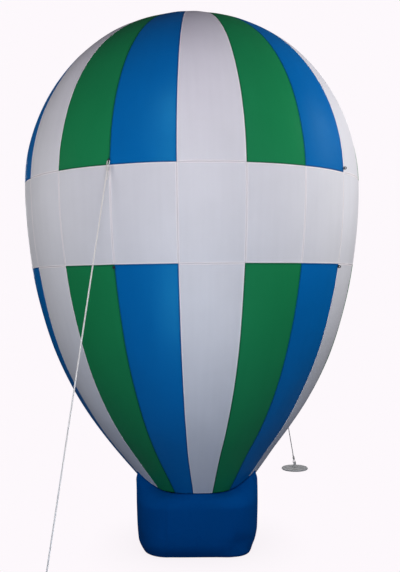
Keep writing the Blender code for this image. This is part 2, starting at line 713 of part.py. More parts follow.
def add_blower_handle(axis, finishes):
    """Carrying handle on top of the outlet."""
    foot = OUTLET_TOP_Z - BLOWER_Z + GAP
    half = HANDLE_HALF_LENGTH
    bar = HANDLE_BAR
    middle = (half - HANDLE_BEND, foot + HANDLE_RISE - HANDLE_BEND)
    turns = spread(0.0, math.radians(90), 4)
    outer = [on_arc(middle, HANDLE_BEND, a)[:2] for a in turns]
    inner = [on_arc(middle, HANDLE_BEND - bar, a)[:2] for a in turns[::-1]]
    outline = [(half, foot)] + outer + [(-x, y) for x, y in outer[::-1]] + [(-half, foot)]
    outline += [(-half + bar, foot)] + [(-x, y) for x, y in inner[::-1]]
    outline += inner + [(half - bar, foot)]
    across = Matrix(((1, 0, 0), (0, 0, -1), (0, 1, 0))).to_4x4()
    place = Matrix.Translation((0.0, HANDLE_Y, 0.0)) @ across
    levels = (-HANDLE_HALF_WIDTH, HANDLE_HALF_WIDTH)
    add_plate("blower_handle", outline, levels, finishes["black_plastic"], place, axis)


def add_blower(finishes):
    """The blower's pieces around an empty on the fan's axis."""
    axis = bpy.data.objects.new("fan_axis", None)
    bpy.context.scene.collection.objects.link(axis)
    axis.location = (0.0, BLOWER_Y, BLOWER_Z)
    add_blower_housing(axis, finishes)
    add_impeller(axis, finishes)
    add_motor(axis, finishes)
    add_intake_guard(axis, finishes)
    add_blower_stand(axis, finishes)
    add_blower_handle(axis, finishes)


def add_inflation_sleeve(finishes):
    """Fabric sleeve that leads the blower's air into the base."""
    start = BASE_HALF_WIDTH + GAP
    end = OUTLET_Y - GAP
    middle = (start + end) / 2
    outer = ((start, SLEEVE_RADIUS), (middle, SLEEVE_RADIUS), (end, SLEEVE_RADIUS))
    inner = ((start, SLEEVE_BORE), (middle, SLEEVE_BORE), (end, SLEEVE_BORE))
    add_tube("inflation_sleeve", outer, inner, finishes["base_fabric"],
             along_y((0.0, 0.0, OUTLET_Z)))


def build():
    """Makes the whole balloon."""
    clear_scene()
    finishes = make_materials()
    add_upper_gores(finishes)
    add_equator_band(finishes)
    add_lower_gores(finishes)
    add_crown_patch(finishes)
    add_base_wall(finishes)
    add_base_floor(finishes)
    add_inflation_sleeve(finishes)
    add_blower(finishes)
    add_tabs(finishes)
    add_guy_ropes(finishes)


build()
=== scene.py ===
"""Looks of the standing inflatable balloon.

Stretched cloth with its sewn seams, webbing tabs, twisted guy ropes, floor weights and the
blower behind the base.  Metres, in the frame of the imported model: +Z up, the front looks
along -Y, and an azimuth is counted from the front towards +X.
"""
import math

import bpy
import numpy as np
from mathutils import Matrix, Vector
from mathutils.geometry import tessellate_polygon


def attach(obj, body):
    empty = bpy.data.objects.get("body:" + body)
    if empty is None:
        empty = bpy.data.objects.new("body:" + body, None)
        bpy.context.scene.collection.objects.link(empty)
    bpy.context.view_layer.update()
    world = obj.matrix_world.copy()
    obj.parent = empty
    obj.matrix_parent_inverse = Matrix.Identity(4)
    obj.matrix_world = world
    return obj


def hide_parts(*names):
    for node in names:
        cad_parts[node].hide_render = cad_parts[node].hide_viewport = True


TURN = 2 * math.pi
WHITE = (1.0, 1.0, 1.0)

# Camera, as the photograph was taken
LENS_MM = 50.29
SENSOR_MM = 36.0
CAMERA_PLACE = (0.0416, -4.904, 1.572)
CAMERA_PITCH = -0.0015
CAMERA_ROLL = -0.0107

# Stage and light
BACKDROP = (0.983, 0.939, 0.973)
FLOOR_BOUNCE = (0.10, 0.13, 0.20)
SKY_LIGHT = (0.03, 0.03, 0.035)
CONTACT_SHADOW = 0.11
CONTACT_REACH = 0.35
LAMP_SIZE = 1.2

# Lamps that all face the axis: name, azimuth, reach, height, watts, tint, shows as a highlight
LAMPS = (
    ("far_left", -90, 3.0, 2.2, 18.0, WHITE, False),
    ("left", -45, 3.0, 2.2, 18.4, WHITE, False),
    ("front", 0, 3.0, 2.2, 16.2, WHITE, True),
    ("right", 45, 3.0, 2.2, 20.5, WHITE, False),
    ("far_right", 90, 3.0, 2.2, 10.0, WHITE, False),
    ("side", 90, 3.0, 3.4, 67.0, WHITE, False),
    ("low", 0, 2.6, 0.6, 15.4, (0.72, 0.84, 1.0), True),
    ("high", 0, 2.6, 3.8, 20.5, (0.91, 0.83, 1.0), True),
    ("back_right", 165, 3.2, 2.2, 20.0, WHITE, True),
    ("back_left", -150, 3.2, 2.2, 24.0, WHITE, True),
)

# Finishes by slot, filled before the first piece is made
FINISHES = {}

# Gores, counted to the right from the seam nearest the front
GORE_COUNT = 18
GORE_ANGLE = TURN / GORE_COUNT
FIRST_SEAM = math.radians(-3.8)
GORE_CLOTHS = ("white_fabric", "green_fabric", "blue_fabric")

# Meridian of the envelope, four arcs and a cone
ENVELOPE_RADIUS = 1.000
EQUATOR_Z = 2.146
SHOULDER_RADIUS = 1.106
SHOULDER_END = math.radians(34.2)
BELLY_RADIUS = 2.884
BELLY_END = math.radians(16.4)
TAPER_RADIUS = 2.032
TAPER_END = math.radians(37.6)
CROWN_PATCH_RADIUS = 0.070
CROWN_OVERLAP = 0.009
CROWN_SIDES = 96
BAND_TOP_Z = 2.176
BAND_BOTTOM_Z = 1.678

# Base
BASE_HALF_WIDTH = 0.350
BASE_CORNER_RADIUS = 0.180
BASE_EDGE_RADIUS = 0.085
BASE_LEAN = 0.011
LEAN_AT_FLOOR = 0.55
LEAN_ABOVE_FLOOR = 0.45
LEAN_GROWS_TO_Z = 0.15
LEAN_FADES_FROM_Z = 0.36
LEAN_FADES_OVER = 0.30
WALL_FLAT = 2 * (BASE_HALF_WIDTH - BASE_CORNER_RADIUS)
WALL_SIDE = WALL_FLAT + BASE_CORNER_RADIUS * math.pi / 2
WALL_LENGTH = 4 * WALL_SIDE
EDGE_BEND = BASE_EDGE_RADIUS * math.pi / 2
WALL_SHOULDER_Z = 0.290
WALL_SHOULDER_POWER = 1.74
WALL_COLUMNS = 312
WALL_ROWS = 56
SLEEVE_RADIUS = 0.086
SLEEVE_COLLAR_WIDTH = 0.034
SLEEVE_START = 0.352
SLEEVE_END = 0.6595
STRAP_Y = 0.634
ZIP_LOW = 0.120
ZIP_HIGH = 0.350
SLEEVE_SIDES = 120
SLEEVE_RUN = 2 * WALL_SIDE + WALL_FLAT / 2
ZIP_RUN = 3 * WALL_SIDE + WALL_FLAT / 2
WALL_SEAMS = np.array((2 * WALL_SIDE - 0.5 * (WALL_SIDE - WALL_FLAT), ZIP_RUN))
GROUND_CLEARANCE = 0.0008
FLOOR_RING_SHARES = (0.85, 0.65, 0.45, 0.25, 0.08)

# Seam of the neck: degrees from the front or the back, distance from the axis
NECK_SEAM = np.array(((0, 0.320), (25, 0.316), (40, 0.322), (47, 0.339), (54, 0.358), (62, 0.396)))
NECK_WIDEST = 0.440

# Swells and hollows up the wall's cloth: rise, middle, spread
WAIST_HOLLOW = (-0.0085, 0.095, 0.055)
HEEL_BULGE = (0.014, 0.050, 0.024)
HEEL_HOLLOW = (-0.005, 0.125, 0.040)
FOOT_BULGE = (0.008, 0.032, 0.020)
CORNER_DENT = (-0.009, 0.135, 0.050)
CORNER_CREASE = (-0.0025, 0.17, 0.075)
HEEL_SPREAD = 0.150

# Swell of the wall by the air: everywhere, in its upper part, in the middle of each side
SWELL_EVERYWHERE = 0.002
SWELL_UPPER = 0.006
SWELL_UPPER_FROM = 0.12
SWELL_UPPER_OVER = 0.26
SWELL_MIDDLE = 0.003
SWELL_FADES_IN = 0.045

# Crease and dent at each lower corner of the wall, and the wall's small waves
CREASE_LOW = 0.10
CREASE_SLANT = 0.35
CREASE_HALF_WIDTH = 0.016
DENT_ASIDE = 0.05
DENT_HALF_WIDTH = 0.060
WALL_WAVE_RISE = 0.0009

# Strap round the sleeve, and the corners of its section: level, rise
STRAP_HALF_WIDTH = 0.012
STRAP_INNER_RADIUS = SLEEVE_RADIUS - 0.0020
STRAP_SECTION = (
    (-0.0120, 0.0), (-0.0125, 0.0005), (-0.0125, 0.0012), (-0.0120, 0.0017),
    (0.0120, 0.0017), (0.0125, 0.0012), (0.0125, 0.0005), (0.0120, 0.0),
)

# Where each panel lies in the cloth's pattern, so that no two look alike
GORE_PATTERN_STEP = 1.7
CROWN_PATTERN = 40.0
WALL_PATTERN = 60.0
FLOOR_PATTERN = 66.0
COLLAR_PATTERN = 70.0
SLEEVE_PATTERN = 74.0
FLAP_PATTERN = 80.0

# Edge of a cloth panel, its allowance pressed back under it: distance from the seam, rise
PRESSED_EDGE = np.array((
    (0.0002, -0.0080),
    (0.0002, -0.0014),
    (0.0006, -0.0003),
    (0.0016, 0.0004),
    (0.0060, 0.0005),
    (0.0072, 0.0001),
    (0.0100, 0.0),
    (0.0160, 0.0),
    (0.0260, 0.0),
))
ALLOWANCE = 0.0066
FAR_FROM_SEAM = 1.0
NARROW_HALF = 0.030
INNER_COLUMNS = (0.2, 0.45, 0.72, 1.0)
ROW_PITCH = 0.0075
LOBE_RISE = 0.0040
SEAM_SET_BACK = -0.0010
PUCKER_WAVELENGTHS = (0.031, 0.044, 0.067, 0.112)
PUCKER_RISE = 0.0011
PUCKER_REACH = 0.020
WALL_GATHER_RISE = 0.0030
WALL_GATHER_REACH = 0.06
CROWN_PUCKER_RISE = 0.0005
CROWN_STAND = 0.0013
COLLAR_STAND = 0.0012

# Seeds of the puckers; a gore's seam takes its own number
HEM_SEED = 100
CROWN_SEED = 61
WALL_GATHER_SEED = 71
WALL_SEED = 72

# Slow swells of the skin: waves round the axis, radians a metre up, start, rise
SWELLS = (
    (5, 6.1, 0.4, 0.0010),
    (9, -10.0, 2.1, 0.0007),
    (14, 16.0, 4.0, 0.0004),
    (22, -7.0, 1.2, 0.0003),
)

# Tabs: corner of the banner field, seam that carries its two tabs
TAB_CORNERS = (
    ("front_left", -1),
    ("front_right", 3),
    ("back_right", 8),
    ("back_left", 12),
)
GUY_TAB_ABOVE_BAND = 0.022
BANNER_TAB_BELOW_BAND = 0.013
TAB_EYE_RADIUS = 0.005
TAB_RIM_RADIUS = 0.008
TAB_EYE_OUT = 0.0093
TAB_EYELET_RADIUS = 0.0061

# How a roped tab draws the cloth out: rise, middle, spread
ROPE_PULL = (0.0035, 0.0, 0.045)

# Guy ropes: seam, radius of the weight from the axis
GUY_ROPES = (
    ("front_left", -1, 1.665),
    ("back_right", 8, 2.055),
)
ROPE_RADIUS = 0.004
ROPE_PITCH = 0.026

# Loops at a rope's two ends, tab and weight: half their width beside the eye, reach past its
# middle, length, thickness against the rope's
ROPE_LOOPS = (
    (0.0058, 0.0020, 0.62, 0.62),
    (0.0098, 0.0062, 1.0, 0.74),
)
ROPE_TAIL = ((0.0, 0.0, 0.0), (0.014, 0.003, 0.0), (0.034, 0.004, 0.002), (0.050, 0.003, 0.003))
THIN_TURNS = 0.66
COIL_RADIUS = 0.0066
ROPE_START = 0.030
ROPE_STOP = 0.046
WEIGHT_RADIUS = 0.110
WEIGHT_HEIGHT = 0.014
LUG_RIM_RADIUS = 0.021
LUG_EYE_RADIUS = 0.011
LUG_EYE_Z = 0.042

# Blower, its axis along X
BLOWER_PLACE = (0.0, 0.800, 0.150)
SCROLL_LARGE_RADIUS = 0.130
SCROLL_SMALL_RADIUS = 0.100
SCROLL_END = math.radians(-170)
HOUSING_HALF_WIDTH = 0.0825
HOUSING_WALL = 0.005
SHAFT_RADIUS = 0.008
SHAFT_HOLE_RADIUS = 0.012
OUTLET_FRONT = -0.140
OUTLET_LOW = -0.030
OUTLET_HIGH = 0.130
OUTLET_Z = 0.200
SPIGOT_RADIUS = 0.0797
SPIGOT_BORE = 0.072
SPIGOT_END_Y = 0.600
HANDLE_Y = -0.050
INTAKE_RADIUS = 0.065
GUARD_RADIUS = 0.0765
FLANGE_SCREW_OUT = 0.0025
VANE_COUNT = 26

# Sizes that follow
SHOULDER_CENTRE = (ENVELOPE_RADIUS - SHOULDER_RADIUS, EQUATOR_Z)
CROWN_RADIUS = SHOULDER_RADIUS + SHOULDER_CENTRE[0] / math.cos(SHOULDER_END)
CROWN_CENTRE = (0.0, EQUATOR_Z + (SHOULDER_RADIUS - CROWN_RADIUS) * math.sin(SHOULDER_END))
BELLY_CENTRE = (ENVELOPE_RADIUS - BELLY_RADIUS, EQUATOR_Z)
TAPER_CENTRE = (
    BELLY_CENTRE[0] + (BELLY_RADIUS - TAPER_RADIUS) * math.cos(BELLY_END),
    BELLY_CENTRE[1] - (BELLY_RADIUS - TAPER_RADIUS) * math.sin(BELLY_END),
)
ARC_CENTRES = np.array((TAPER_CENTRE, BELLY_CENTRE, SHOULDER_CENTRE, CROWN_CENTRE))
ARC_RADII = np.array((TAPER_RADIUS, BELLY_RADIUS, SHOULDER_RADIUS, CROWN_RADIUS))
ARC_ENDS = np.array((-TAPER_END, -BELLY_END, 0.0, SHOULDER_END, math.radians(90)))
ARC_LENGTHS = ARC_RADII * np.diff(ARC_ENDS)
KNOTS = np.concatenate(((0.0,), np.cumsum(ARC_LENGTHS))) - ARC_LENGTHS[:2].sum()
BAND_TOP = SHOULDER_RADIUS * math.asin((BAND_TOP_Z - EQUATOR_Z) / SHOULDER_RADIUS)
BAND_BOTTOM = -BELLY_RADIUS * math.asin((EQUATOR_Z - BAND_BOTTOM_Z) / BELLY_RADIUS)
CROWN_EDGE = KNOTS[4] - CROWN_RADIUS * math.asin(CROWN_PATCH_RADIUS / CROWN_RADIUS)


# Shader graphs

class Graph:
    """One node tree, with short ways to add and link its nodes."""

    def __init__(self, tree):
        self.tree = tree
        self.count = 0

    def add(self, kind, *values, **settings):
        """Adds a node with its settings, and feeds its sockets in their order."""
        node = self.tree.nodes.new(kind)
        node.location = (200 * (self.count % 8) - 1800, -260 * (self.count // 8))
        self.count += 1
        for name, setting in settings.items():
            setattr(node, name, setting)
        for socket, value in zip(node.inputs, values):
            self.feed(socket, value)
        return node

    def feed(self, socket, value):
        """Links an output to a socket, or sets the socket to a plain value."""
        if isinstance(value, bpy.types.NodeSocket):
            self.tree.links.new(value, socket)
        else:
            socket.default_value = value

    def feeds(self, sockets, **values):
        """Feeds sockets by name, with an underscore for each space."""
        for name, value in values.items():
            self.feed(sockets[name.replace("_", " ")], value)

    def math(self, operation, *values):
        return self.add("ShaderNodeMath", *values, operation=operation).outputs[0]

    def plus(self, first, *others):
        """Sum of two or more values."""
        for other in others:
            first = self.math("ADD", first, other)
        return first

    def times(self, first, *others):
        """Product of two or more values."""
        for other in others:
            first = self.math("MULTIPLY", first, other)
        return first

    def uneven(self, value, amount):
        """A value between 0 and 1 made one that strays that much in all, round nought."""
        return self.times(self.math("SUBTRACT", value, 0.5), amount)

    def ramp(self, value, low, high, start=0.0, end=1.0):
        """Start at low, end at high, and a smooth step between."""
        node = self.add("ShaderNodeMapRange", interpolation_type="SMOOTHSTEP")
        self.feeds(node.inputs, Value=value, From_Min=low, From_Max=high, To_Min=start, To_Max=end)
        return node.outputs["Result"]

    def line(self, distance, core, edge):
        """One up to core away from a line, nought from edge on, and a smooth step between."""
        return self.ramp(distance, core, edge, 1.0, 0.0)

    def noise(self, vector, scale, detail=2.0):
        node = self.add("ShaderNodeTexNoise")
        self.feeds(node.inputs, Vector=vector, Scale=scale, Detail=detail)
        return node.outputs["Fac"]

    def mix(self, share, first, second, blend="MIX"):
        node = self.add("ShaderNodeMix", data_type="RGBA", blend_type=blend)
        for index, value in ((0, share), (6, first), (7, second)):
            self.feed(node.inputs[index], value)
        return node.outputs[2]

    def mix_shaders(self, share, first, second):
        sources = (share, first.outputs[0], second.outputs[0])
        return self.add("ShaderNodeMixShader", *sources).outputs[0]

    def split(self, vector):
        return self.add("ShaderNodeSeparateXYZ", vector).outputs

    def join(self, x, y, z):
        return self.add("ShaderNodeCombineXYZ", x, y, z).outputs[0]

    def attribute(self, name):
        return self.add("ShaderNodeAttribute", attribute_name=name).outputs["Vector"]

    def object_place(self):
        return self.add("ShaderNodeTexCoord").outputs["Object"]

    def bump(self, height):
        """Normals of a height in metres."""
        node = self.add("ShaderNodeBump")
        self.feeds(node.inputs, Distance=1.0, Height=height)
        return node.outputs["Normal"]

    def effect(self, group, **inputs):
        """One of the effects below, fed by name."""
        node = self.add("ShaderNodeGroup", node_tree=bpy.data.node_groups[group])
        self.feeds(node.inputs, **inputs)
        return node.outputs


def new_group(name, inputs, outputs):
    """An empty effect with float inputs and outputs, or a vector where the name is Position."""
    tree = bpy.data.node_groups.new(name, "ShaderNodeTree")
    for label, default in inputs:
        kind = "NodeSocketVector" if label == "Position" else "NodeSocketFloat"
        socket = tree.interface.new_socket(label, in_out="INPUT", socket_type=kind)
        if default is not None:
            socket.default_value = default
    for label in outputs:
        tree.interface.new_socket(label, in_out="OUTPUT", socket_type="NodeSocketFloat")
    graph = Graph(tree)
    return graph, graph.add("NodeGroupInput").outputs, graph.add("NodeGroupOutput").inputs


def make_weave_group():
    """Plain weave: threads that pass over and under each other."""
    graph, given, result = new_group(
        "Plain weave", (("Across", 0.0), ("Along", 0.0), ("Pitch", 0.001)), ("Thread", "Height"))
    across, along = (
        graph.math("SINE", graph.times(graph.math("DIVIDE", given[name], given["Pitch"]), math.pi))
        for name in ("Across", "Along"))
    thread = graph.times(across, along)
    height = graph.times(thread, graph.times(given["Pitch"], 0.035))
    graph.feeds(result, Thread=graph.math("MULTIPLY_ADD", thread, 0.5, 0.5), Height=height)


def make_seam_group():
    """Edge of a panel whose allowance is pressed back and stitched down."""
    graph, given, result = new_group(
        "Pressed seam",
        (("Across", 0.0), ("Along", 0.0), ("Allowance", ALLOWANCE), ("Stitch Pitch", 0.0042)),
        ("Strip", "Groove", "Stitch", "Height"))
    across = given["Across"]
    softened = graph.plus(given["Allowance"], 0.0009)
    strip = graph.line(across, given["Allowance"], softened)
    groove = graph.line(across, 0.0003, 0.0017)
    row = graph.math("SUBTRACT", given["Allowance"], 0.0017)
    off_row = graph.math("ABSOLUTE", graph.math("SUBTRACT", across, row))
    turns = graph.math("FRACT", graph.math("DIVIDE", given["Along"], given["Stitch Pitch"]))
    off_middle = graph.math("ABSOLUTE", graph.math("SUBTRACT", turns, 0.5))
    stitch = graph.times(graph.line(off_row, 0.0003, 0.0006), graph.line(off_middle, 0.34, 0.42))
    needle = graph.times(graph.line(off_row, 0.0002, 0.0012), -0.00022)
    height = graph.plus(needle, graph.times(stitch, 0.00035), graph.times(strip, 0.00025))
    height = graph.math("SUBTRACT", height, graph.times(groove, 0.0004))
    graph.feeds(result, Strip=strip, Groove=groove, Stitch=stitch, Height=height)


def make_tone_group():
    """Uneven tone, faint streaks along the cloth and soft folds left from packing."""
    graph, given, result = new_group(
        "Cloth tone", (("Position", None), ("Streaks", 1.0), ("Folds", 1.0)),
        ("Tone", "Gloss", "Height"))
    position = given["Position"]
    x, y, z = graph.split(position)
    broad = graph.uneven(graph.noise(position, 2.6, 3.0), 0.16)
    drawn_out = graph.join(graph.times(x, 26.0), graph.times(y, 1.6), z)
    streak = graph.times(graph.uneven(graph.noise(drawn_out, 1.0, 2.0), 0.07), given["Streaks"])
    wobble = graph.times(graph.noise(position, 5.0, 2.0), 0.12)
    shift = graph.join(wobble, wobble, 0.0)
    bent = graph.add("ShaderNodeVectorMath", position, shift, operation="ADD").outputs[0]
    cells = graph.add("ShaderNodeTexVoronoi", feature="DISTANCE_TO_EDGE")
    graph.feeds(cells.inputs, Vector=bent, Scale=3.4)
    fold = graph.times(graph.line(cells.outputs["Distance"], 0.0, 0.05), given["Folds"], 0.00035)
    dimple = graph.times(graph.noise(position, 22.0, 2.0), 0.00025)
    graph.feeds(result, Tone=graph.plus(broad, streak, 1.0),
                Gloss=graph.noise(position, 7.0, 3.0), Height=graph.plus(fold, dimple))


def make_grain_group():
    """Moulding grain with scuffs and a little dust, for plastic, rubber and paint."""
    graph, given, result = new_group(
        "Grain and dust", (("Position", None), ("Grain", 900.0), ("Depth", 0.00004)),
        ("Dust", "Scuff", "Height"))
    position = given["Position"]
    dust = graph.ramp(graph.noise(position, 9.0, 5.0), 0.48, 0.75)
    x, y, z = graph.split(position)
    stretched = graph.join(graph.times(x, 30.0), y, graph.times(z, 160.0))
    scuff = graph.ramp(graph.noise(stretched, 1.0, 4.0), 0.56, 0.70)
    grain = graph.noise(position, given["Grain"], 1.0)
    graph.feeds(result, Dust=dust, Scuff=scuff, Height=graph.times(grain, given["Depth"]))


class Surface(Graph):
    """A material with its Principled shader; constants go straight onto its sockets."""

    def __init__(self, name, **constants):
        self.material = bpy.data.materials.new(name)
        self.material.use_nodes = True
        super().__init__(self.material.node_tree)
        self.shader = self.tree.nodes["Principled BSDF"].inputs
        self.feeds(self.shader, **constants)

    def finished(self, finish, roughness, height):
        """The material with its colour, its roughness and the bumps of a height."""
        self.feeds(self.shader, Base_Color=finish, Roughness=roughness, Normal=self.bump(height))
        return self.material


def colour(red, green, blue):
    return (red, green, blue, 1.0)


def cloth_material(name, plain, strip, thread, roughness, shine, gloss_tint, folds=0.6):
    """Coated woven cloth with its seams: plain cloth, doubled cloth, thread colours and painted shade
    in the seams' grooves.
    """
    graph = Surface(name, Specular_IOR_Level=shine, Specular_Tint=colour(*gloss_tint))
    cloth = graph.attribute("cloth")
    across, along, _ = graph.split(cloth)
    to_seam, to_hem, _ = graph.split(graph.attribute("edges"))
    weave = graph.effect("Plain weave", Across=across, Along=along)
    seam = graph.effect("Pressed seam", Across=to_seam, Along=along)
    hem = graph.effect("Pressed seam", Across=to_hem, Along=across)
    tone = graph.effect("Cloth tone", Position=cloth, Folds=folds)
    strips, grooves, stitches = (
        graph.math("MAXIMUM", seam[name], hem[name]) for name in ("Strip", "Groove", "Stitch"))
    shade = graph.join(tone["Tone"], tone["Tone"], tone["Tone"])
    finish = graph.mix(1.0, colour(*plain), shade, "MULTIPLY")
    finish = graph.mix(graph.times(weave["Thread"], 0.08), finish, colour(*strip))
    finish = graph.mix(strips, finish, colour(*strip))
    finish = graph.mix(stitches, finish, colour(*thread))
    # Painted shade: the cloth is darkened along the seams' grooves, where shadow would fall.
    painted_groove_shade = colour(*(0.35 * value for value in plain))
    finish = graph.mix(graph.times(grooves, 0.12), finish, painted_groove_shade)
    rough = graph.plus(graph.uneven(tone["Gloss"], 0.22), roughness)
    height = graph.plus(seam["Height"], hem["Height"], weave["Height"], tone["Height"])
    return graph.finished(finish, rough, height)


def moulded_material(name, plain, dusty, roughness, grain=900.0, depth=0.00004):
    """Plastic, rubber or painted steel."""
    graph = Surface(name, Specular_IOR_Level=0.5)
    worn = graph.effect("Grain and dust", Position=graph.object_place(), Grain=grain, Depth=depth)
    finish = graph.mix(graph.times(worn["Dust"], 0.35), colour(*plain), colour(*dusty))
    finish = graph.mix(graph.times(worn["Scuff"], 0.25), finish, colour(*dusty))
    rough = graph.math("SUBTRACT", graph.times(worn["Dust"], 0.18), graph.times(worn["Scuff"], 0.10))
    return graph.finished(finish, graph.plus(rough, roughness), worn["Height"])


def webbing_material(name, plain, raised, pitch):
    """Narrow woven tape with ribs across its threads."""
    graph = Surface(name, Sheen_Weight=0.05, Sheen_Roughness=0.5)
    position = graph.object_place()
    x, y, z = graph.split(position)
    weave = graph.effect("Plain weave", Across=graph.plus(x, y), Along=z, Pitch=pitch)
    tone = graph.effect("Cloth tone", Position=position)
    finish = graph.mix(weave["Thread"], colour(*plain), colour(*raised))
    rough = graph.plus(graph.times(tone["Gloss"], 0.2), 0.62)
    return graph.finished(finish, rough, graph.times(weave["Height"], 4.0))


def rope_material():
    """Twisted off-white rope: fine yarns along each strand, and painted shade between the strands."""
    graph = Surface("twisted_rope", Sheen_Weight=0.3, Sheen_Roughness=0.5)
    across, along, outward = graph.split(graph.attribute("cloth"))
    yarns = graph.math("SINE", graph.plus(graph.times(across, 9.0), graph.times(along, 900.0)))
    fuzz = graph.noise(graph.object_place(), 260.0, 3.0)
    finish = graph.mix(fuzz, colour(0.78, 0.74, 0.70), colour(0.90, 0.87, 0.86))
    # Painted shade: each strand is darkened on its inner side, where the strands shade each other.
    hollow = graph.math("SUBTRACT", 1.0, graph.ramp(outward, 0.25, 0.95))
    finish = graph.mix(hollow, finish, colour(0.55, 0.51, 0.48))
    rough = graph.plus(graph.times(fuzz, 0.2), 0.7)
    height = graph.plus(graph.times(yarns, 0.00012), graph.times(fuzz, 0.00030))
    return graph.finished(finish, rough, height)


def metal_material(name, plain, dull, roughness):
    """Bare metal with fine scratches and dull patches."""
    graph = Surface(name, Metallic=1.0)
    worn = graph.effect("Grain and dust", Position=graph.object_place(), Grain=400.0,
                       Depth=0.00001)
    finish = graph.mix(worn["Dust"], colour(*plain), colour(*dull))
    rough = graph.plus(graph.times(worn["Scuff"], 0.25), roughness)
    return graph.finished(finish, rough, worn["Height"])


def make_finishes():
    """Fills FINISHES, which the pieces take their materials from."""
    make_weave_group()
    make_seam_group()
    make_tone_group()
    make_grain_group()
    FINISHES.update({
        "white_fabric": cloth_material(
            "white_cloth", (0.606, 0.600, 0.638), (0.735, 0.695, 0.720), (0.78, 0.75, 0.76),
            0.50, 0.40, WHITE),
        "green_fabric": cloth_material(
            "green_cloth", (0.0090, 0.182, 0.0605), (0.0028, 0.118, 0.041), (0.006, 0.15, 0.055),
            0.44, 0.50, (0.30, 1.0, 0.75)),
        "blue_fabric": cloth_material(
            "blue_cloth", (0.0010, 0.114, 0.364), (0.0004, 0.074, 0.262), (0.002, 0.10, 0.33),
            0.42, 0.55, (0.12, 1.0, 0.95)),
        "base_fabric": cloth_material(
            "base_cloth", (0.0002, 0.0525, 0.218), (0.0001, 0.038, 0.170), (0.001, 0.05, 0.20),
            0.56, 0.03, (0.12, 1.0, 0.95), 1.0),
        "black_webbing": webbing_material(
            "webbing", (0.010, 0.010, 0.012), (0.030, 0.030, 0.034), 0.0014),
        "white_rope": rope_material(),
        "black_plastic": moulded_material(
            "black_plastic", (0.016, 0.016, 0.018), (0.10, 0.095, 0.085), 0.42),
        "grey_plastic": moulded_material(
            "grey_plastic", (0.15, 0.155, 0.16), (0.26, 0.25, 0.23), 0.45),
        "steel": metal_material("zinc_steel", (0.52, 0.52, 0.53), (0.36, 0.36, 0.36), 0.30),
        "weight_steel": moulded_material(
            "painted_steel", (0.62, 0.62, 0.63), (0.46, 0.45, 0.42), 0.42, 300.0, 0.00008),
        "black_rubber": moulded_material(
            "black_rubber", (0.014, 0.014, 0.014), (0.09, 0.085, 0.08), 0.75, 1400.0, 0.00003),
    })


# Meshes

def grid_faces(rows, columns, closed=False, start=0):
    """Quads of a grid of points, its rows listed one after another."""
    spans = columns if closed else columns - 1
    i = np.arange(rows - 1)[:, None] * columns + start
    j = np.arange(spans)[None, :]
    k = (j + 1) % columns
    return vectors(i + j, i + k, i + columns + k, i + columns + j).reshape(-1, 4)


def end_faces(start, rows, columns):
    """A face over the first ring of a closed grid, and one over its last."""
    last = start + (rows - 1) * columns
    return [list(range(start, start + columns))[::-1], list(range(last, last + columns))]


def new_piece(name, points, faces, slot, replaced=(), body="balloon", sharp=None, **attributes):
    """A mesh piece on a CAD body; attributes are vectors, one for each point."""
    mesh = bpy.data.meshes.new(name)
    mesh.from_pydata(np.asarray(points).reshape(-1, 3).tolist(), [],
                     [list(map(int, face)) for face in faces])
    mesh.materials.append(FINISHES[slot])
    mesh.shade_smooth()
    if sharp is not None:
        mesh.set_sharp_from_angle(angle=math.radians(sharp))
    for label, values in attributes.items():
        layer = mesh.attributes.new(label, "FLOAT_VECTOR", "POINT")
        layer.data.foreach_set("vector", np.asarray(values, np.float32).ravel())
    mesh.validate()
    piece = bpy.data.objects.new(name, mesh)
    bpy.context.scene.collection.objects.link(piece)
    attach(piece, body)
    if replaced:
        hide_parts(*replaced)
    return piece


def vectors(*values):
    """One vector for each point, from values that spread to the same shape."""
    return np.stack(np.broadcast_arrays(*values), axis=-1)


def moved(points, place):
    """Points taken from a place's own axes to the frame."""
    turn = np.array(place.to_3x3())
    return np.asarray(points) @ turn.T + np.array(place.translation)


def shifted(place, x, y, z):
    """A place moved along its own axes."""
    return place @ Matrix.Translation((x, y, z))


def turned(place, degrees, axis):
    """A place turned about one of its own axes."""
    return place @ Matrix.Rotation(math.radians(degrees), 4, axis)


def spread_round(place, count, start, reach, level):
    """Places spread evenly round a place's Z, the first of them at that many degrees."""
    return [shifted(turned(place, start + 360 * k / count, "Z"), reach, 0.0, level)
            for k in range(count)]


def level_ring(outline, level, place):
    """A flat outline at a level of a place's Z."""
    return moved(vectors(*np.asarray(outline).T, level), place)


def circle_turns(sides):
    """Angles of equal steps once round."""
    return np.arange(sides) * TURN / sides


def circle(radius, sides=64):
    """Corners of a flat circle."""
    turns = circle_turns(sides)
    return vectors(radius * np.cos(turns), radius * np.sin(turns))


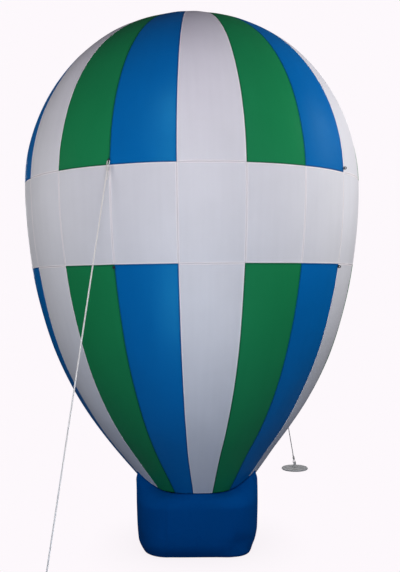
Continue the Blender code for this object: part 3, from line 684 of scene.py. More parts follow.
class Solid:
    """Collects the rings and patches of one mesh."""

    def __init__(self):
        self.points = []
        self.faces = []
        self.size = 0

    def rings(self, rings, closed=False, caps=False):
        """Joins equal rings in a row; closed joins the last to the first, caps shuts both ends."""
        rings = np.asarray(rings, float)
        rows, columns, _ = rings.shape
        faces = grid_faces(rows + closed, columns, True) % (rows * columns)
        self.faces += (faces + self.size).tolist()
        if caps:
            self.faces += end_faces(self.size, rows, columns)
        self.points.append(rings.reshape(-1, 3))
        self.size += rows * columns

    def lathe(self, profile, place, sides):
        """Turns stations along a place's Z, each with its radius."""
        self.rings([level_ring(circle(r, sides), z, place) for z, r in profile], caps=True)

    def hoop(self, section, place, sides):
        """A ring round a place's Z from the corners of its section, each a level and a radius."""
        self.rings([level_ring(circle(r, sides), z, place) for z, r in section], closed=True)

    def block(self, place, size, edge):
        """A box with rounded edges, its middle at the place."""
        across, along, tall = (value / 2 for value in size)
        turns = circle_turns(16) + TURN / 32
        ways = vectors(np.cos(turns), np.sin(turns))
        corner = np.sign(ways) * (across - edge, along - edge)
        layers = ((edge, -tall), (edge * 0.3, edge * 0.3 - tall), (0.0, edge - tall),
                  (0.0, tall - edge), (edge * 0.3, tall - edge * 0.3), (edge, tall))
        self.rings([level_ring(corner + ways * (edge - inset), level, place)
                    for inset, level in layers], caps=True)

    def bar(self, path, half_side, half_up, sides, power):
        """A bar of rounded oblong section; power under 1 squares the section off."""
        ahead, side = frames(path)
        up = np.cross(ahead, side)
        turns = circle_turns(sides)
        wide, tall = (np.sign(way) * np.abs(way) ** power for way in (np.cos(turns), np.sin(turns)))
        rings = path[:, None] + (half_side[:, None] * wide)[..., None] * side[:, None]
        rings = rings + (half_up[:, None] * tall)[..., None] * up[:, None]
        self.rings(rings, caps=True)

    def tube(self, path, radius, sides, closed=False):
        """A round bar along a path; the radius may change along it."""
        path = np.asarray(path, float)
        ahead, side = frames(path, closed)
        ring = round_section(side, np.cross(ahead, side), circle_turns(sides))
        radius = np.broadcast_to(np.asarray(radius, float), (len(path),))[:, None, None]
        self.rings(path[:, None, :] + radius * ring, closed, caps=not closed)

    def patch(self, loops, facing):
        """A flat face with holes: its outline first, then the holes."""
        flat = [Vector(point) for loop in loops for point in loop]
        for triangle in tessellate_polygon([[Vector(p) for p in loop] for loop in loops]):
            a, b, c = (flat[k] for k in triangle)
            backwards = (b - a).cross(c - a).dot(facing) < 0
            self.faces.append([self.size + k for k in (triangle[::-1] if backwards else triangle)])
        self.points.append(np.array(flat))
        self.size += len(flat)

    def piece(self, name, slot, replaced=(), body="balloon", sharp=35):
        """Makes the collected mesh a piece; edges sharper than that angle stay sharp."""
        new_piece(name, np.concatenate(self.points), self.faces, slot, replaced, body, sharp)


def round_section(side, up, turns):
    """Directions round a path, for each of its points and each of the turns."""
    return (np.cos(turns)[None, :, None] * side[:, None, :]
            + np.sin(turns)[None, :, None] * up[:, None, :])


def frames(path, closed=False):
    """Directions ahead and to one side along a path, turned as little as possible."""
    if closed:
        ahead = np.roll(path, -1, axis=0) - np.roll(path, 1, axis=0)
    else:
        ahead = np.gradient(path, axis=0)
    ahead /= np.linalg.norm(ahead, axis=1)[:, None]
    side = np.empty_like(ahead)
    last = np.eye(3)[np.argmin(np.abs(ahead[0]))]
    for i, way in enumerate(ahead):
        last = last - way * np.dot(last, way)
        last = last / np.linalg.norm(last)
        side[i] = last
    return ahead, side


def smooth_path(points, steps):
    """A rounded curve through points, with that many steps between two of them."""
    points = np.asarray(points, float)
    padded = np.concatenate((2 * points[:1] - points[1:2], points, 2 * points[-1:] - points[-2:-1]))
    share = np.arange(steps)[:, None] / steps
    parts = []
    for a, b, c, d in zip(padded, padded[1:], padded[2:], padded[3:]):
        parts.append(0.5 * (2 * b + (c - a) * share + (2 * a - 5 * b + 4 * c - d) * share ** 2
                            + (3 * b - a - 3 * c + d) * share ** 3))
    return np.concatenate(parts + [points[-1:]])


def resampled(path, step):
    """The same path with even steps."""
    gone = np.concatenate(((0.0,), np.cumsum(np.linalg.norm(np.diff(path, axis=0), axis=1))))
    places = np.linspace(0.0, gone[-1], max(2, round(gone[-1] / step) + 1))
    return vectors(*(np.interp(places, gone, values) for values in path.T)), places


def smooth(share):
    """A smooth step from 0 to 1."""
    share = np.clip(share, 0.0, 1.0)
    return share * share * (3 - 2 * share)


def hump(place, rise, middle, spread):
    """A soft hump, or a hollow where its rise is negative."""
    return rise * np.exp(-((place - middle) / spread) ** 2)


def cloth_piece(name, points, faces, slot, replaced, cloth, edges):
    """A piece of cloth, with its places across and along the pattern and the pattern's part,
    and with its distances to the nearer seam and to the nearer hem."""
    blank = np.zeros(np.shape(points)[:-1])
    across, along, part = cloth
    return new_piece(name, points, faces, slot, replaced,
                     cloth=vectors(across, along, part + blank), edges=vectors(*edges, blank))


# The envelope

def meridian(length):
    """Distance from the axis, height and slope of the skin at lengths along it."""
    angle = np.interp(length, KNOTS, ARC_ENDS)
    arc = np.clip(np.searchsorted(KNOTS, length) - 1, 0, 3)
    beyond = np.minimum(length - KNOTS[0], 0.0)
    reach = ARC_CENTRES[arc, 0] + ARC_RADII[arc] * np.cos(angle) + beyond * math.sin(TAPER_END)
    height = ARC_CENTRES[arc, 1] + ARC_RADII[arc] * np.sin(angle) + beyond * math.cos(TAPER_END)
    return reach, height, angle


def polar(reach, azimuth, height):
    """Points at distances from the axis, azimuths and heights."""
    return vectors(reach * np.sin(azimuth), -reach * np.cos(azimuth), height)


def base_outline(azimuth):
    """Distance from the axis to the base's rounded square."""
    sine, cosine = np.abs(np.sin(azimuth)), np.abs(np.cos(azimuth))
    across, along = np.minimum(sine, cosine), np.maximum(sine, cosine)
    middle = BASE_HALF_WIDTH - BASE_CORNER_RADIUS
    flat = BASE_HALF_WIDTH / along
    reach = middle * (across + along)
    inner = np.maximum(reach ** 2 - 2 * middle ** 2 + BASE_CORNER_RADIUS ** 2, 0.0)
    return np.where(flat * across <= middle, flat, reach + np.sqrt(inner))


def neck_reach(azimuth):
    """Distance from the axis to the seam between the base and the lower gores."""
    turn = np.degrees(np.arctan2(np.abs(np.sin(azimuth)), np.abs(np.cos(azimuth))))
    drawn = [np.interp(np.abs(turn + off), *NECK_SEAM.T, right=NECK_WIDEST) for off in (-3, -1, 1, 3)]
    return np.minimum(base_outline(azimuth), np.mean(drawn, axis=0))


def base_top(azimuth):
    """Length along the meridian at which the cone meets the base."""
    end = meridian(KNOTS[:1])[0][0]
    return KNOTS[0] - (end - neck_reach(azimuth)) / math.sin(TAPER_END)


def pucker(run, seed):
    """Uneven gathers along a seam, the same on both of its sides."""
    source = np.random.default_rng(seed)
    total = np.zeros_like(run)
    for wavelength in PUCKER_WAVELENGTHS:
        total = total + np.sin(TURN * (run / wavelength + source.uniform())) * source.uniform(0.5, 1)
    swell = 0.6 + 0.4 * np.sin(TURN * (run / 0.37 + source.uniform()))
    return total * swell / len(PUCKER_WAVELENGTHS)


def gathered(run, seed, distance, reach=PUCKER_REACH):
    """Gathers that fade at a distance from their seam."""
    return pucker(run, seed) * np.exp(-distance / reach)


def swells(azimuth, length):
    """Rise of the slow swells of the skin."""
    total = np.zeros_like(azimuth)
    for waves, rate, start, rise in SWELLS:
        total = total + rise * np.sin(waves * azimuth + rate * length + start)
    return total


def tab_stations():
    """Lengths along the meridian of the guy tabs and the banner tabs."""
    up = (BAND_TOP_Z + GUY_TAB_ABOVE_BAND - EQUATOR_Z) / SHOULDER_RADIUS
    down = (EQUATOR_Z - BAND_BOTTOM_Z + BANNER_TAB_BELOW_BAND) / BELLY_RADIUS
    return {"guy": SHOULDER_RADIUS * math.asin(up), "banner": -BELLY_RADIUS * math.asin(down)}


def pull(azimuth, length):
    """Cloth drawn out round the two tabs that carry a rope."""
    total = np.zeros_like(azimuth)
    station = tab_stations()["guy"]
    for _, seam, _ in GUY_ROPES:
        off = azimuth - (FIRST_SEAM + seam * GORE_ANGLE)
        off = (off + math.pi) % TURN - math.pi
        far = np.hypot(off * ENVELOPE_RADIUS, length - station)
        total = total + hump(far, *ROPE_PULL)
    return total


def edge_rise(distance):
    """Rise of a panel's pressed edge at a distance from its seam."""
    return np.interp(distance, PRESSED_EDGE[1:, 0], PRESSED_EDGE[1:, 1])


def panel_rows(span):
    """Shares of the way to the high edge, offsets from the nearer one, and the flaps there."""
    near = PRESSED_EDGE[:, 0]
    inside = near[-1]
    count = max(2, round((span - 2 * inside) / ROW_PITCH))
    share = np.arange(1, count) / count
    shares = np.concatenate((np.zeros(len(near)), share, np.ones(len(near))))
    offsets = np.concatenate((near, inside * (1 - 2 * share), -near[::-1]))
    rises = np.zeros(len(shares))
    rises[0] = PRESSED_EDGE[0, 1]
    rises[-1] = PRESSED_EDGE[0, 1]
    return shares[:, None], offsets[:, None], rises[:, None]


def panel_columns(half):
    """Distances from the left seam, row by row, and the flaps turned under at both seams."""
    near = PRESSED_EDGE[:, 0] * np.minimum(1.0, half / NARROW_HALF)
    inner = near[:, -1:] + (half - near[:, -1:]) * np.array(INNER_COLUMNS)
    left = np.concatenate((near, inner), axis=1)
    right = 2 * half - left[:, -2::-1]
    across = np.concatenate((left, right), axis=1)
    flap = np.zeros(across.shape[1])
    flap[0] = PRESSED_EDGE[0, 1]
    flap[-1] = PRESSED_EDGE[0, 1]
    return across, flap[None, :]


def panel(index, low, high, hems):
    """Points, cloth places and edge distances of one panel between two gore seams."""
    first = FIRST_SEAM + index * GORE_ANGLE
    middle = first + GORE_ANGLE / 2
    low_middle = low(np.array(middle)) if callable(low) else low
    shares, offsets, row_flap = panel_rows(high - low_middle)
    centre_reach = meridian(low_middle * (1 - shares) + high * shares + offsets)[0]
    across, column_flap = panel_columns(centre_reach * GORE_ANGLE / 2)
    azimuth = first + across / centre_reach
    bottom = low(azimuth) if callable(low) else low
    length = bottom * (1 - shares) + high * shares + offsets
    reach, height, slope = meridian(length)
    from_left = (azimuth - first) * reach
    from_right = (first + GORE_ANGLE - azimuth) * reach
    squeeze = np.minimum(1.0, centre_reach * GORE_ANGLE / 2 / NARROW_HALF)
    to_seam = np.minimum(from_left, from_right) / squeeze
    to_low = length - bottom
    to_high = high - length
    to_hem = np.minimum(to_low, to_high)
    share = (azimuth - first) / GORE_ANGLE
    lobe = LOBE_RISE * 4 * share * (1 - share) * reach / ENVELOPE_RADIUS
    run = azimuth * ENVELOPE_RADIUS
    gathers = gathered(length, index % GORE_COUNT, from_left)
    gathers += gathered(length, (index + 1) % GORE_COUNT, from_right)
    gathers += gathered(run, HEM_SEED + hems[0], to_low)
    gathers += gathered(run, HEM_SEED + hems[1], to_high)
    rise = lobe + SEAM_SET_BACK + PUCKER_RISE * gathers + swells(azimuth, length)
    rise += pull(azimuth, length) + edge_rise(to_seam) + edge_rise(to_hem)
    rise += np.minimum(row_flap, column_flap)
    points = lean(polar(reach + rise * np.cos(slope), azimuth, height + rise * np.sin(slope)))
    part = GORE_PATTERN_STEP * index + hems[0]
    return points, vectors((azimuth - middle) * reach, length, part), vectors(to_seam, to_hem, 0.0)


def add_gores(kind, low, high, hems):
    """The eighteen panels above or below the band."""
    for index in range(GORE_COUNT):
        points, cloth, edges = panel(index, low, high, hems)
        rows, columns, _ = points.shape
        slot = GORE_CLOTHS[index % len(GORE_CLOTHS)]
        name = f"{kind}_gore_{index + 1:02d}"
        piece = new_piece(f"{name}_cloth", points, grid_faces(rows, columns), slot, (name,),
                          cloth=cloth, edges=edges)


def add_band():
    """The white band, eighteen panels sewn into a ring."""
    parts = [panel(index, BAND_BOTTOM, BAND_TOP, (1, 2)) for index in range(GORE_COUNT)]
    rows, columns, _ = parts[0][0].shape
    faces = [grid_faces(rows, columns, start=k * rows * columns) for k in range(GORE_COUNT)]
    points, cloth, edges = (np.concatenate([part[k].reshape(-1, 3) for part in parts])
                            for k in range(3))
    piece = new_piece("band_cloth", points, np.concatenate(faces), "white_fabric",
                      ("equator_band",), cloth=cloth, edges=edges)


def add_crown_patch():
    """Round patch over the gores' tips, its rim turned under and stitched."""
    rim = CROWN_EDGE - CROWN_OVERLAP
    azimuth = circle_turns(CROWN_SIDES)
    near = PRESSED_EDGE[1:, 0]
    inside = np.linspace(near[-1], KNOTS[4] - rim - 0.004, 9)[1:]
    from_rim = np.concatenate((near, inside))[:, None]
    length = rim + from_rim
    reach, height, slope = meridian(length)
    rise = CROWN_STAND + edge_rise(from_rim) + swells(azimuth, length)
    rise = rise + CROWN_PUCKER_RISE * gathered(azimuth * 0.3, CROWN_SEED, from_rim)
    points = polar(reach + rise * np.cos(slope), azimuth, height + rise * np.sin(slope))
    faces = grid_faces(len(length), CROWN_SIDES, True).tolist()
    faces.append(end_faces(0, len(length), CROWN_SIDES)[1])
    piece = cloth_piece("crown_patch_cloth", points, faces, "white_fabric", ("crown_patch",),
                        (points[..., 0], points[..., 1], CROWN_PATTERN), (FAR_FROM_SEAM, from_rim))


# The base

def lean(points):
    """The soft base stands a little to the right of the envelope, as in the photograph."""
    height = points[..., 2]
    shift = BASE_LEAN * (LEAN_AT_FLOOR + LEAN_ABOVE_FLOOR * smooth(height / LEAN_GROWS_TO_Z))
    points[..., 0] += shift * (1 - smooth((height - LEAN_FADES_FROM_Z) / LEAN_FADES_OVER))
    return points


def wall_plan(run):
    """Plan of the wall at lengths round it, from the left end of the front's flat part."""
    quarter = np.floor(run / WALL_SIDE)
    local = run - quarter * WALL_SIDE - WALL_FLAT / 2
    bend = np.maximum(local - WALL_FLAT / 2, 0.0) / BASE_CORNER_RADIUS
    flat = (np.minimum(local, WALL_FLAT / 2) + BASE_CORNER_RADIUS * np.sin(bend),
            BASE_CORNER_RADIUS * (1 - np.cos(bend)) - BASE_HALF_WIDTH)
    face = (np.sin(bend), -np.cos(bend))
    cosine, sine = np.cos(quarter * math.pi / 2), np.sin(quarter * math.pi / 2)
    spot, way = (vectors(cosine * x - sine * y, sine * x + cosine * y) for x, y in (flat, face))
    return spot, way, local


def wall_shoulder(spot):
    """How far the wall's shoulder draws in and how far it rises, at places on the outline."""
    foot = meridian(KNOTS[:1])
    neck = neck_reach(np.arctan2(spot[..., 0], -spot[..., 1]))
    height = foot[1][0] - (foot[0][0] - neck) / math.tan(TAPER_END)
    return np.hypot(spot[..., 0], spot[..., 1]) - neck, height - WALL_SHOULDER_Z


def up_wall(height):
    """Length up the wall's cloth at a height on its upright part."""
    return height - BASE_EDGE_RADIUS + EDGE_BEND


def wall_top(spot):
    """Length up the wall, from the floor panel's seam to the gores' seam."""
    return up_wall(WALL_SHOULDER_Z) + np.hypot(*wall_shoulder(spot))


def wall_rise(run, local, up, to_hem):
    """How far the wall swells out, wrinkles under the gores and dips at its lower corners."""
    corner = WALL_FLAT / 2 + BASE_CORNER_RADIUS * math.pi / 4
    off = np.abs(local)
    to_corner = np.minimum(off, 2 * corner - off)
    flatness = np.cos(to_corner / corner * math.pi / 2) ** 2
    swell = SWELL_EVERYWHERE + SWELL_UPPER * smooth((up - SWELL_UPPER_FROM) / SWELL_UPPER_OVER)
    swell = swell + SWELL_MIDDLE * flatness
    swell = swell * smooth(to_hem / SWELL_FADES_IN) + hump(up, *WAIST_HOLLOW)
    heel = hump(up, *HEEL_BULGE) + hump(up, *HEEL_HOLLOW)
    swell = swell + heel * hump(run, 1.0, (WALL_FLAT + WALL_SIDE) / 2, HEEL_SPREAD)
    swell = swell + hump(up, *FOOT_BULGE)
    dent = hump(up, *CORNER_DENT) * hump(off, 1.0, corner - DENT_ASIDE, DENT_HALF_WIDTH)
    slant = corner - CREASE_LOW + CREASE_SLANT * (up - CREASE_LOW)
    crease = hump(up, *CORNER_CREASE) * hump(off, 1.0, slant, CREASE_HALF_WIDTH)
    waves = np.sin(9 * run + 5 * up) + 0.6 * np.sin(23 * run - 8 * up + 1.0)
    rise = swell + dent + crease + WALL_WAVE_RISE * waves * smooth(up / 0.15)
    folds = gathered(run * 0.45, WALL_GATHER_SEED, to_hem, WALL_GATHER_REACH)
    rise = rise + WALL_GATHER_RISE * folds
    return rise + PUCKER_RISE * gathered(run, WALL_SEED, to_hem)


def wall_skin(run, up, stand):
    """Points of the wall's cloth, standing off it by so much, and distances to its upper seam."""
    spot, way, local = wall_plan(run)
    top = wall_top(spot)
    to_hem = top - up
    turn = np.minimum(up, EDGE_BEND) / BASE_EDGE_RADIUS
    inset = BASE_EDGE_RADIUS * (1 - np.sin(turn))
    draw, shoulder = wall_shoulder(spot)
    start = up_wall(WALL_SHOULDER_Z)
    share = np.clip((up - start) / (top - start), 0.0, 1.0)
    height = BASE_EDGE_RADIUS * (1 - np.cos(turn)) + np.clip(up, EDGE_BEND, start) - EDGE_BEND
    height = height + shoulder * share
    steep = WALL_SHOULDER_POWER * share ** (WALL_SHOULDER_POWER - 1) * draw / shoulder
    slope = turn - math.pi / 2 + np.arctan(steep)
    reach = np.hypot(spot[..., 0], spot[..., 1])
    spot = spot * (1 - draw * share ** WALL_SHOULDER_POWER / reach)[..., None]
    rise = wall_rise(run, local, up, to_hem) + edge_rise(to_hem) + SEAM_SET_BACK
    rise = rise * np.clip(up / 0.05, 0, 1) + stand
    out = (rise * np.cos(slope) - inset)[..., None]
    level = np.maximum(height + rise * np.sin(slope), GROUND_CLEARANCE)
    return lean(np.concatenate((spot + way * out, level[..., None]), axis=-1)), to_hem


def add_base_wall():
    """Wall of the base: a long strip with a hole for the sleeve, sewn to the gores above."""
    run = np.arange(WALL_COLUMNS) * WALL_LENGTH / WALL_COLUMNS
    top = wall_top(wall_plan(run)[0])
    near = PRESSED_EDGE[:, 0]
    low = np.linspace(0.0, 1.0, WALL_ROWS)[:, None]
    up = np.concatenate((low * (top - near[-1])[None, :], top[None, :] - near[::-1][1:, None]))
    fold = np.zeros_like(up)
    fold[-1] = PRESSED_EDGE[0, 1]
    centre = (SLEEVE_RUN, up_wall(OUTLET_Z))
    off = vectors(run, up) - centre
    far = np.linalg.norm(off, axis=-1)
    inside = far < SLEEVE_RADIUS
    off *= np.where(inside, SLEEVE_RADIUS / np.maximum(far, 1e-6), 1.0)[..., None]
    points, to_hem = wall_skin(centre[0] + off[..., 0], centre[1] + off[..., 1], fold)
    faces = grid_faces(*up.shape, True)
    faces = faces[~inside.reshape(-1)[faces].all(axis=1)]
    to_seam = np.abs(run[:, None] - WALL_SEAMS).min(axis=-1)
    piece = cloth_piece("base_wall_cloth", points, faces, "base_fabric", ("base_wall",),
                        (run, up, WALL_PATTERN), (to_seam, np.minimum(to_hem, up + 0.0003)))


def add_base_floor():
    """Floor panel, sewn to the wall's lower edge."""
    run = np.arange(WALL_COLUMNS) * WALL_LENGTH / WALL_COLUMNS
    spot, way, _ = wall_plan(run)
    near = PRESSED_EDGE[1:, 0]
    rings = [spot - way * (BASE_EDGE_RADIUS + off) for off in near]
    rings += [rings[-1] * share for share in FLOOR_RING_SHARES]
    across, along = np.moveaxis(np.array(rings), -1, 0)
    points = lean(vectors(across, along, GROUND_CLEARANCE))
    to_hem = np.concatenate((near, np.full(len(FLOOR_RING_SHARES), near[-1])))[:, None]
    faces = grid_faces(len(rings), WALL_COLUMNS, True)[:, ::-1].tolist()
    faces.append(end_faces(0, len(rings), WALL_COLUMNS)[1][::-1])
    piece = cloth_piece("base_floor_cloth", points, faces, "base_fabric", ("base_floor",),
                        (across, along, FLOOR_PATTERN), (FAR_FROM_SEAM, to_hem))


def add_sleeve_collar():
    """Round collar that sews the sleeve to the wall."""
    turns = circle_turns(SLEEVE_SIDES)
    near = PRESSED_EDGE[1:, 0]
    off = np.concatenate((near, (SLEEVE_COLLAR_WIDTH - near)[::-1]))[:, None]
    reach = SLEEVE_RADIUS - 0.003 + SLEEVE_COLLAR_WIDTH - off
    run = SLEEVE_RUN - reach * np.cos(turns)
    up = up_wall(OUTLET_Z) + reach * np.sin(turns)
    to_edge = np.minimum(off, SLEEVE_COLLAR_WIDTH - off)
    points, _ = wall_skin(run, up, COLLAR_STAND + edge_rise(to_edge))
    faces = grid_faces(len(off), SLEEVE_SIDES, True)
    collar = cloth_piece("sleeve_collar_cloth", points, faces, "base_fabric", (),
                         (run, up, COLLAR_PATTERN), (FAR_FROM_SEAM, to_edge))


def add_sleeve_tube():
    """The sleeve itself, slack and pleated, gathered on the spigot by its strap."""
    turns = circle_turns(SLEEVE_SIDES)
    inside, outside = STRAP_HALF_WIDTH + 0.001, STRAP_HALF_WIDTH + 0.004
    along = np.concatenate((np.linspace(SLEEVE_START, STRAP_Y - outside, 60),
                            np.linspace(STRAP_Y - inside, STRAP_Y + inside, 8),
                            np.linspace(STRAP_Y + outside, SLEEVE_END - 0.0005, 14)))[:, None]
    to_strap = np.maximum(np.abs(along - STRAP_Y) - STRAP_HALF_WIDTH, 0.0)
    loose = smooth(to_strap / 0.05)
    from_base = along - SLEEVE_START
    reach = SLEEVE_RADIUS + 0.006 * loose * smooth(from_base / 0.05) - 0.0035 * (1 - loose)
    gather = np.exp(-to_strap / 0.045) * (1 - np.exp(-to_strap / 0.004))
    pleat = np.sin(17 * turns + 1.4 * np.sin(3 * turns)) + 0.6 * np.sin(29 * turns + 2.0)
    ring = np.sin(along * 95 + 2.2 * np.sin(2 * turns) + 1.3 * np.sin(5 * turns))
    reach = reach + 0.0026 * gather * pleat + 0.0011 * ring * loose * smooth(from_base / 0.04)
    sag = 0.006 * np.sin(np.clip(from_base / (STRAP_Y - SLEEVE_START), 0, 1) * math.pi)
    points = vectors(reach * np.cos(turns), along, OUTLET_Z + reach * np.sin(turns) - sag)
    points[..., 0] += BASE_LEAN * (1 - smooth((along - BASE_HALF_WIDTH) / 0.22))
    to_seam = np.abs(turns - 1.5 * math.pi) * SLEEVE_RADIUS
    faces = grid_faces(len(along), SLEEVE_SIDES, True)[:, ::-1]
    sleeve = cloth_piece("inflation_sleeve_cloth", points, faces, "base_fabric",
                         ("inflation_sleeve",), (turns * SLEEVE_RADIUS, along, SLEEVE_PATTERN),
                         (to_seam, SLEEVE_END - along))


def add_strap():
    """Webbing strap that clamps the sleeve on the spigot, its loose end laid over itself."""
    place = sleeve_place(STRAP_Y)
    strap = Solid()
    strap.hoop([(z, STRAP_INNER_RADIUS + r) for z, r in STRAP_SECTION], place, 96)
    turns = np.linspace(math.radians(20), math.radians(-58), 26)
    lift = 0.0022 + 0.004 * smooth((math.radians(-20) - turns) / 0.7)
    lines = []
    for z, r in STRAP_SECTION:
        reach = STRAP_INNER_RADIUS + 0.0006 + r + lift
        lines.append(level_ring(vectors(reach * np.cos(turns), reach * np.sin(turns)), z, place))
    strap.rings(np.swapaxes(np.array(lines), 0, 1)[:, ::-1], caps=True)
    strap.piece("sleeve_strap_webbing", "black_webbing")


def add_buckle():
    """Cam buckle on top of the strap: a frame of four bars, a lever and its pin."""
    seat = turned(Matrix.Translation((0.0, STRAP_Y, OUTLET_Z)), -8, "Y")
    top = STRAP_INNER_RADIUS + 0.0050
    buckle = Solid()
    end, rail = (0.004, 0.034, 0.005), (0.042, 0.003, 0.005)
    for x, y, size in ((-0.020, 0, end), (0.020, 0, end), (0, -0.0155, rail), (0, 0.0155, rail)):
        buckle.block(shifted(seat, x, y, top), size, 0.0010)
    lever = turned(shifted(seat, 0.002, 0.0, top + 0.0045), 6, "Y")
    buckle.block(lever, (0.036, 0.026, 0.0035), 0.0012)
    pin = turned(shifted(seat, -0.014, 0.0, top + 0.002), 90, "X")
    buckle.lathe(((-0.0185, 0.0022), (0.0185, 0.0022)), pin, 16)
    buckle.piece("sleeve_strap_buckle", "steel")


def add_zip_flap():
    """Flap over the deflation zip in the left wall, sewn down on one side."""
    across = np.concatenate(((0.0, 0.0002, 0.0010, 0.0030), np.linspace(0.006, 0.038, 9),
                             (0.0410, 0.0428, 0.0434)))
    lift = np.concatenate(((0.0002, 0.0008, 0.0013, 0.0014), np.linspace(0.0016, 0.0062, 9),
                           (0.0064, 0.0056, 0.0040)))
    up = np.linspace(up_wall(ZIP_LOW) - 0.012, up_wall(ZIP_HIGH) + 0.010, 44)[:, None]
    to_end = np.minimum(up - up[0], up[-1] - up)
    stand = lift * (0.35 + 0.65 * smooth(to_end / 0.03))
    stand = stand + 0.0008 * np.sin(up * 60 + 1.0) * smooth(across / 0.04)
    run, up = np.broadcast_arrays(ZIP_RUN + 0.0217 - across, up)
    points, _ = wall_skin(run, up, stand)
    flap = cloth_piece("zip_flap_cloth", points, grid_faces(*up.shape)[:, ::-1], "base_fabric",
                       (), (run, up, FLAP_PATTERN), (across + 0.0003, to_end))


def zip_place(side, up, stand):
    """A place beside the zip's middle, at a length up the wall and off it by so much."""
    points, _ = wall_skin(np.array([ZIP_RUN + side]), np.array([up]), stand)
    return Matrix.Translation(points[0])


def add_zip():
    """Teeth of the zip, and its slider with a puller."""
    low = up_wall(ZIP_LOW)
    teeth = Solid()
    for k, up in enumerate(np.arange(low, up_wall(ZIP_HIGH), 0.0030)):
        side = 0.0011 if k % 2 else -0.0011
        teeth.block(zip_place(side, up, 0.0008), (0.0022, 0.0034, 0.0017), 0.0004)
    teeth.piece("zip_teeth", "black_plastic")
    seat = zip_place(0.0, low - 0.004, 0.0030)
    slider = Solid()
    slider.block(seat, (0.0050, 0.0085, 0.0120), 0.0012)
    slider.block(shifted(seat, -0.0030, 0.0, -0.0040), (0.0014, 0.0050, 0.0120), 0.0005)
    slider.block(shifted(seat, -0.0036, 0.0, -0.0240), (0.0016, 0.0090, 0.0300), 0.0006)
    slider.piece("zip_slider", "steel")


# The blower

def fan_place():
    """A place on the fan's axis whose own Z runs along +X, its X along +Y and its Y upwards."""
    turn = Matrix(((0, 0, 1), (1, 0, 0), (0, 1, 0))).to_4x4()
    return Matrix.Translation(BLOWER_PLACE) @ turn


def sleeve_place(y):
    """A place on the sleeve's axis whose own Z runs along +Y, its X upwards, its Y along +X."""
    turn = Matrix(((0, 1, 0), (0, 0, 1), (1, 0, 0))).to_4x4()
    return Matrix.Translation((0.0, y, OUTLET_Z)) @ turn


def scroll_outline(inset):
    """Outline of the scroll and its outlet, anticlockwise in the fan's place."""
    steps = 61
    turns = np.linspace(math.radians(90), SCROLL_END, steps)
    reach = np.linspace(SCROLL_LARGE_RADIUS, SCROLL_SMALL_RADIUS, steps) - inset
    scroll = vectors(reach * np.cos(turns), reach * np.sin(turns))
    front, low, high = OUTLET_FRONT + inset, OUTLET_LOW + inset, OUTLET_HIGH - inset
    straight = np.linspace(front, 0.0, 8)[:-1]
    corner = [(scroll[-1][0], low), (front, low)]
    return np.concatenate((scroll, corner, [(x, high) for x in straight]))[::-1]


def flange_places(level):
    """Places round the housing's flange, where its bosses and screws stand."""
    spots = []
    for turn in np.radians((70, 25, -20, -65, -110, -150)):
        reach = np.interp(-turn, (-math.pi / 2, -SCROLL_END),
                          (SCROLL_LARGE_RADIUS, SCROLL_SMALL_RADIUS)) + FLANGE_SCREW_OUT
        spots.append((reach * math.cos(turn), reach * math.sin(turn)))
    spots += [(x, OUTLET_HIGH + FLANGE_SCREW_OUT) for x in (-0.120, -0.060)]
    return [shifted(fan_place(), x, y, level) for x, y in spots]


def add_scroll(shell):
    """The housing's walls, inside and outside, with the holes for the intake and the shaft."""
    place = fan_place()
    half = HOUSING_HALF_WIDTH
    room = half - HOUSING_WALL
    rounding = ((0.0040, half), (0.0012, half - 0.0012), (0.0, half - 0.0040))
    levels = [(inset, -level) for inset, level in rounding] + list(rounding[::-1])
    shell.rings([level_ring(scroll_outline(inset), level, place) for inset, level in levels])
    shell.rings([level_ring(scroll_outline(HOUSING_WALL), level, place)
                 for level in (room, -room)])
    for side, hole in ((1, INTAKE_RADIUS), (-1, SHAFT_HOLE_RADIUS)):
        for inset, level, facing in ((0.0040, half, side), (HOUSING_WALL, room, -side)):
            shell.patch([level_ring(scroll_outline(inset), side * level, place),
                         level_ring(circle(hole), side * level, place)],
                        Vector((facing, 0.0, 0.0)))
        shell.rings([level_ring(circle(hole), level, place)
                     for level in (side * half, side * room)][::side])


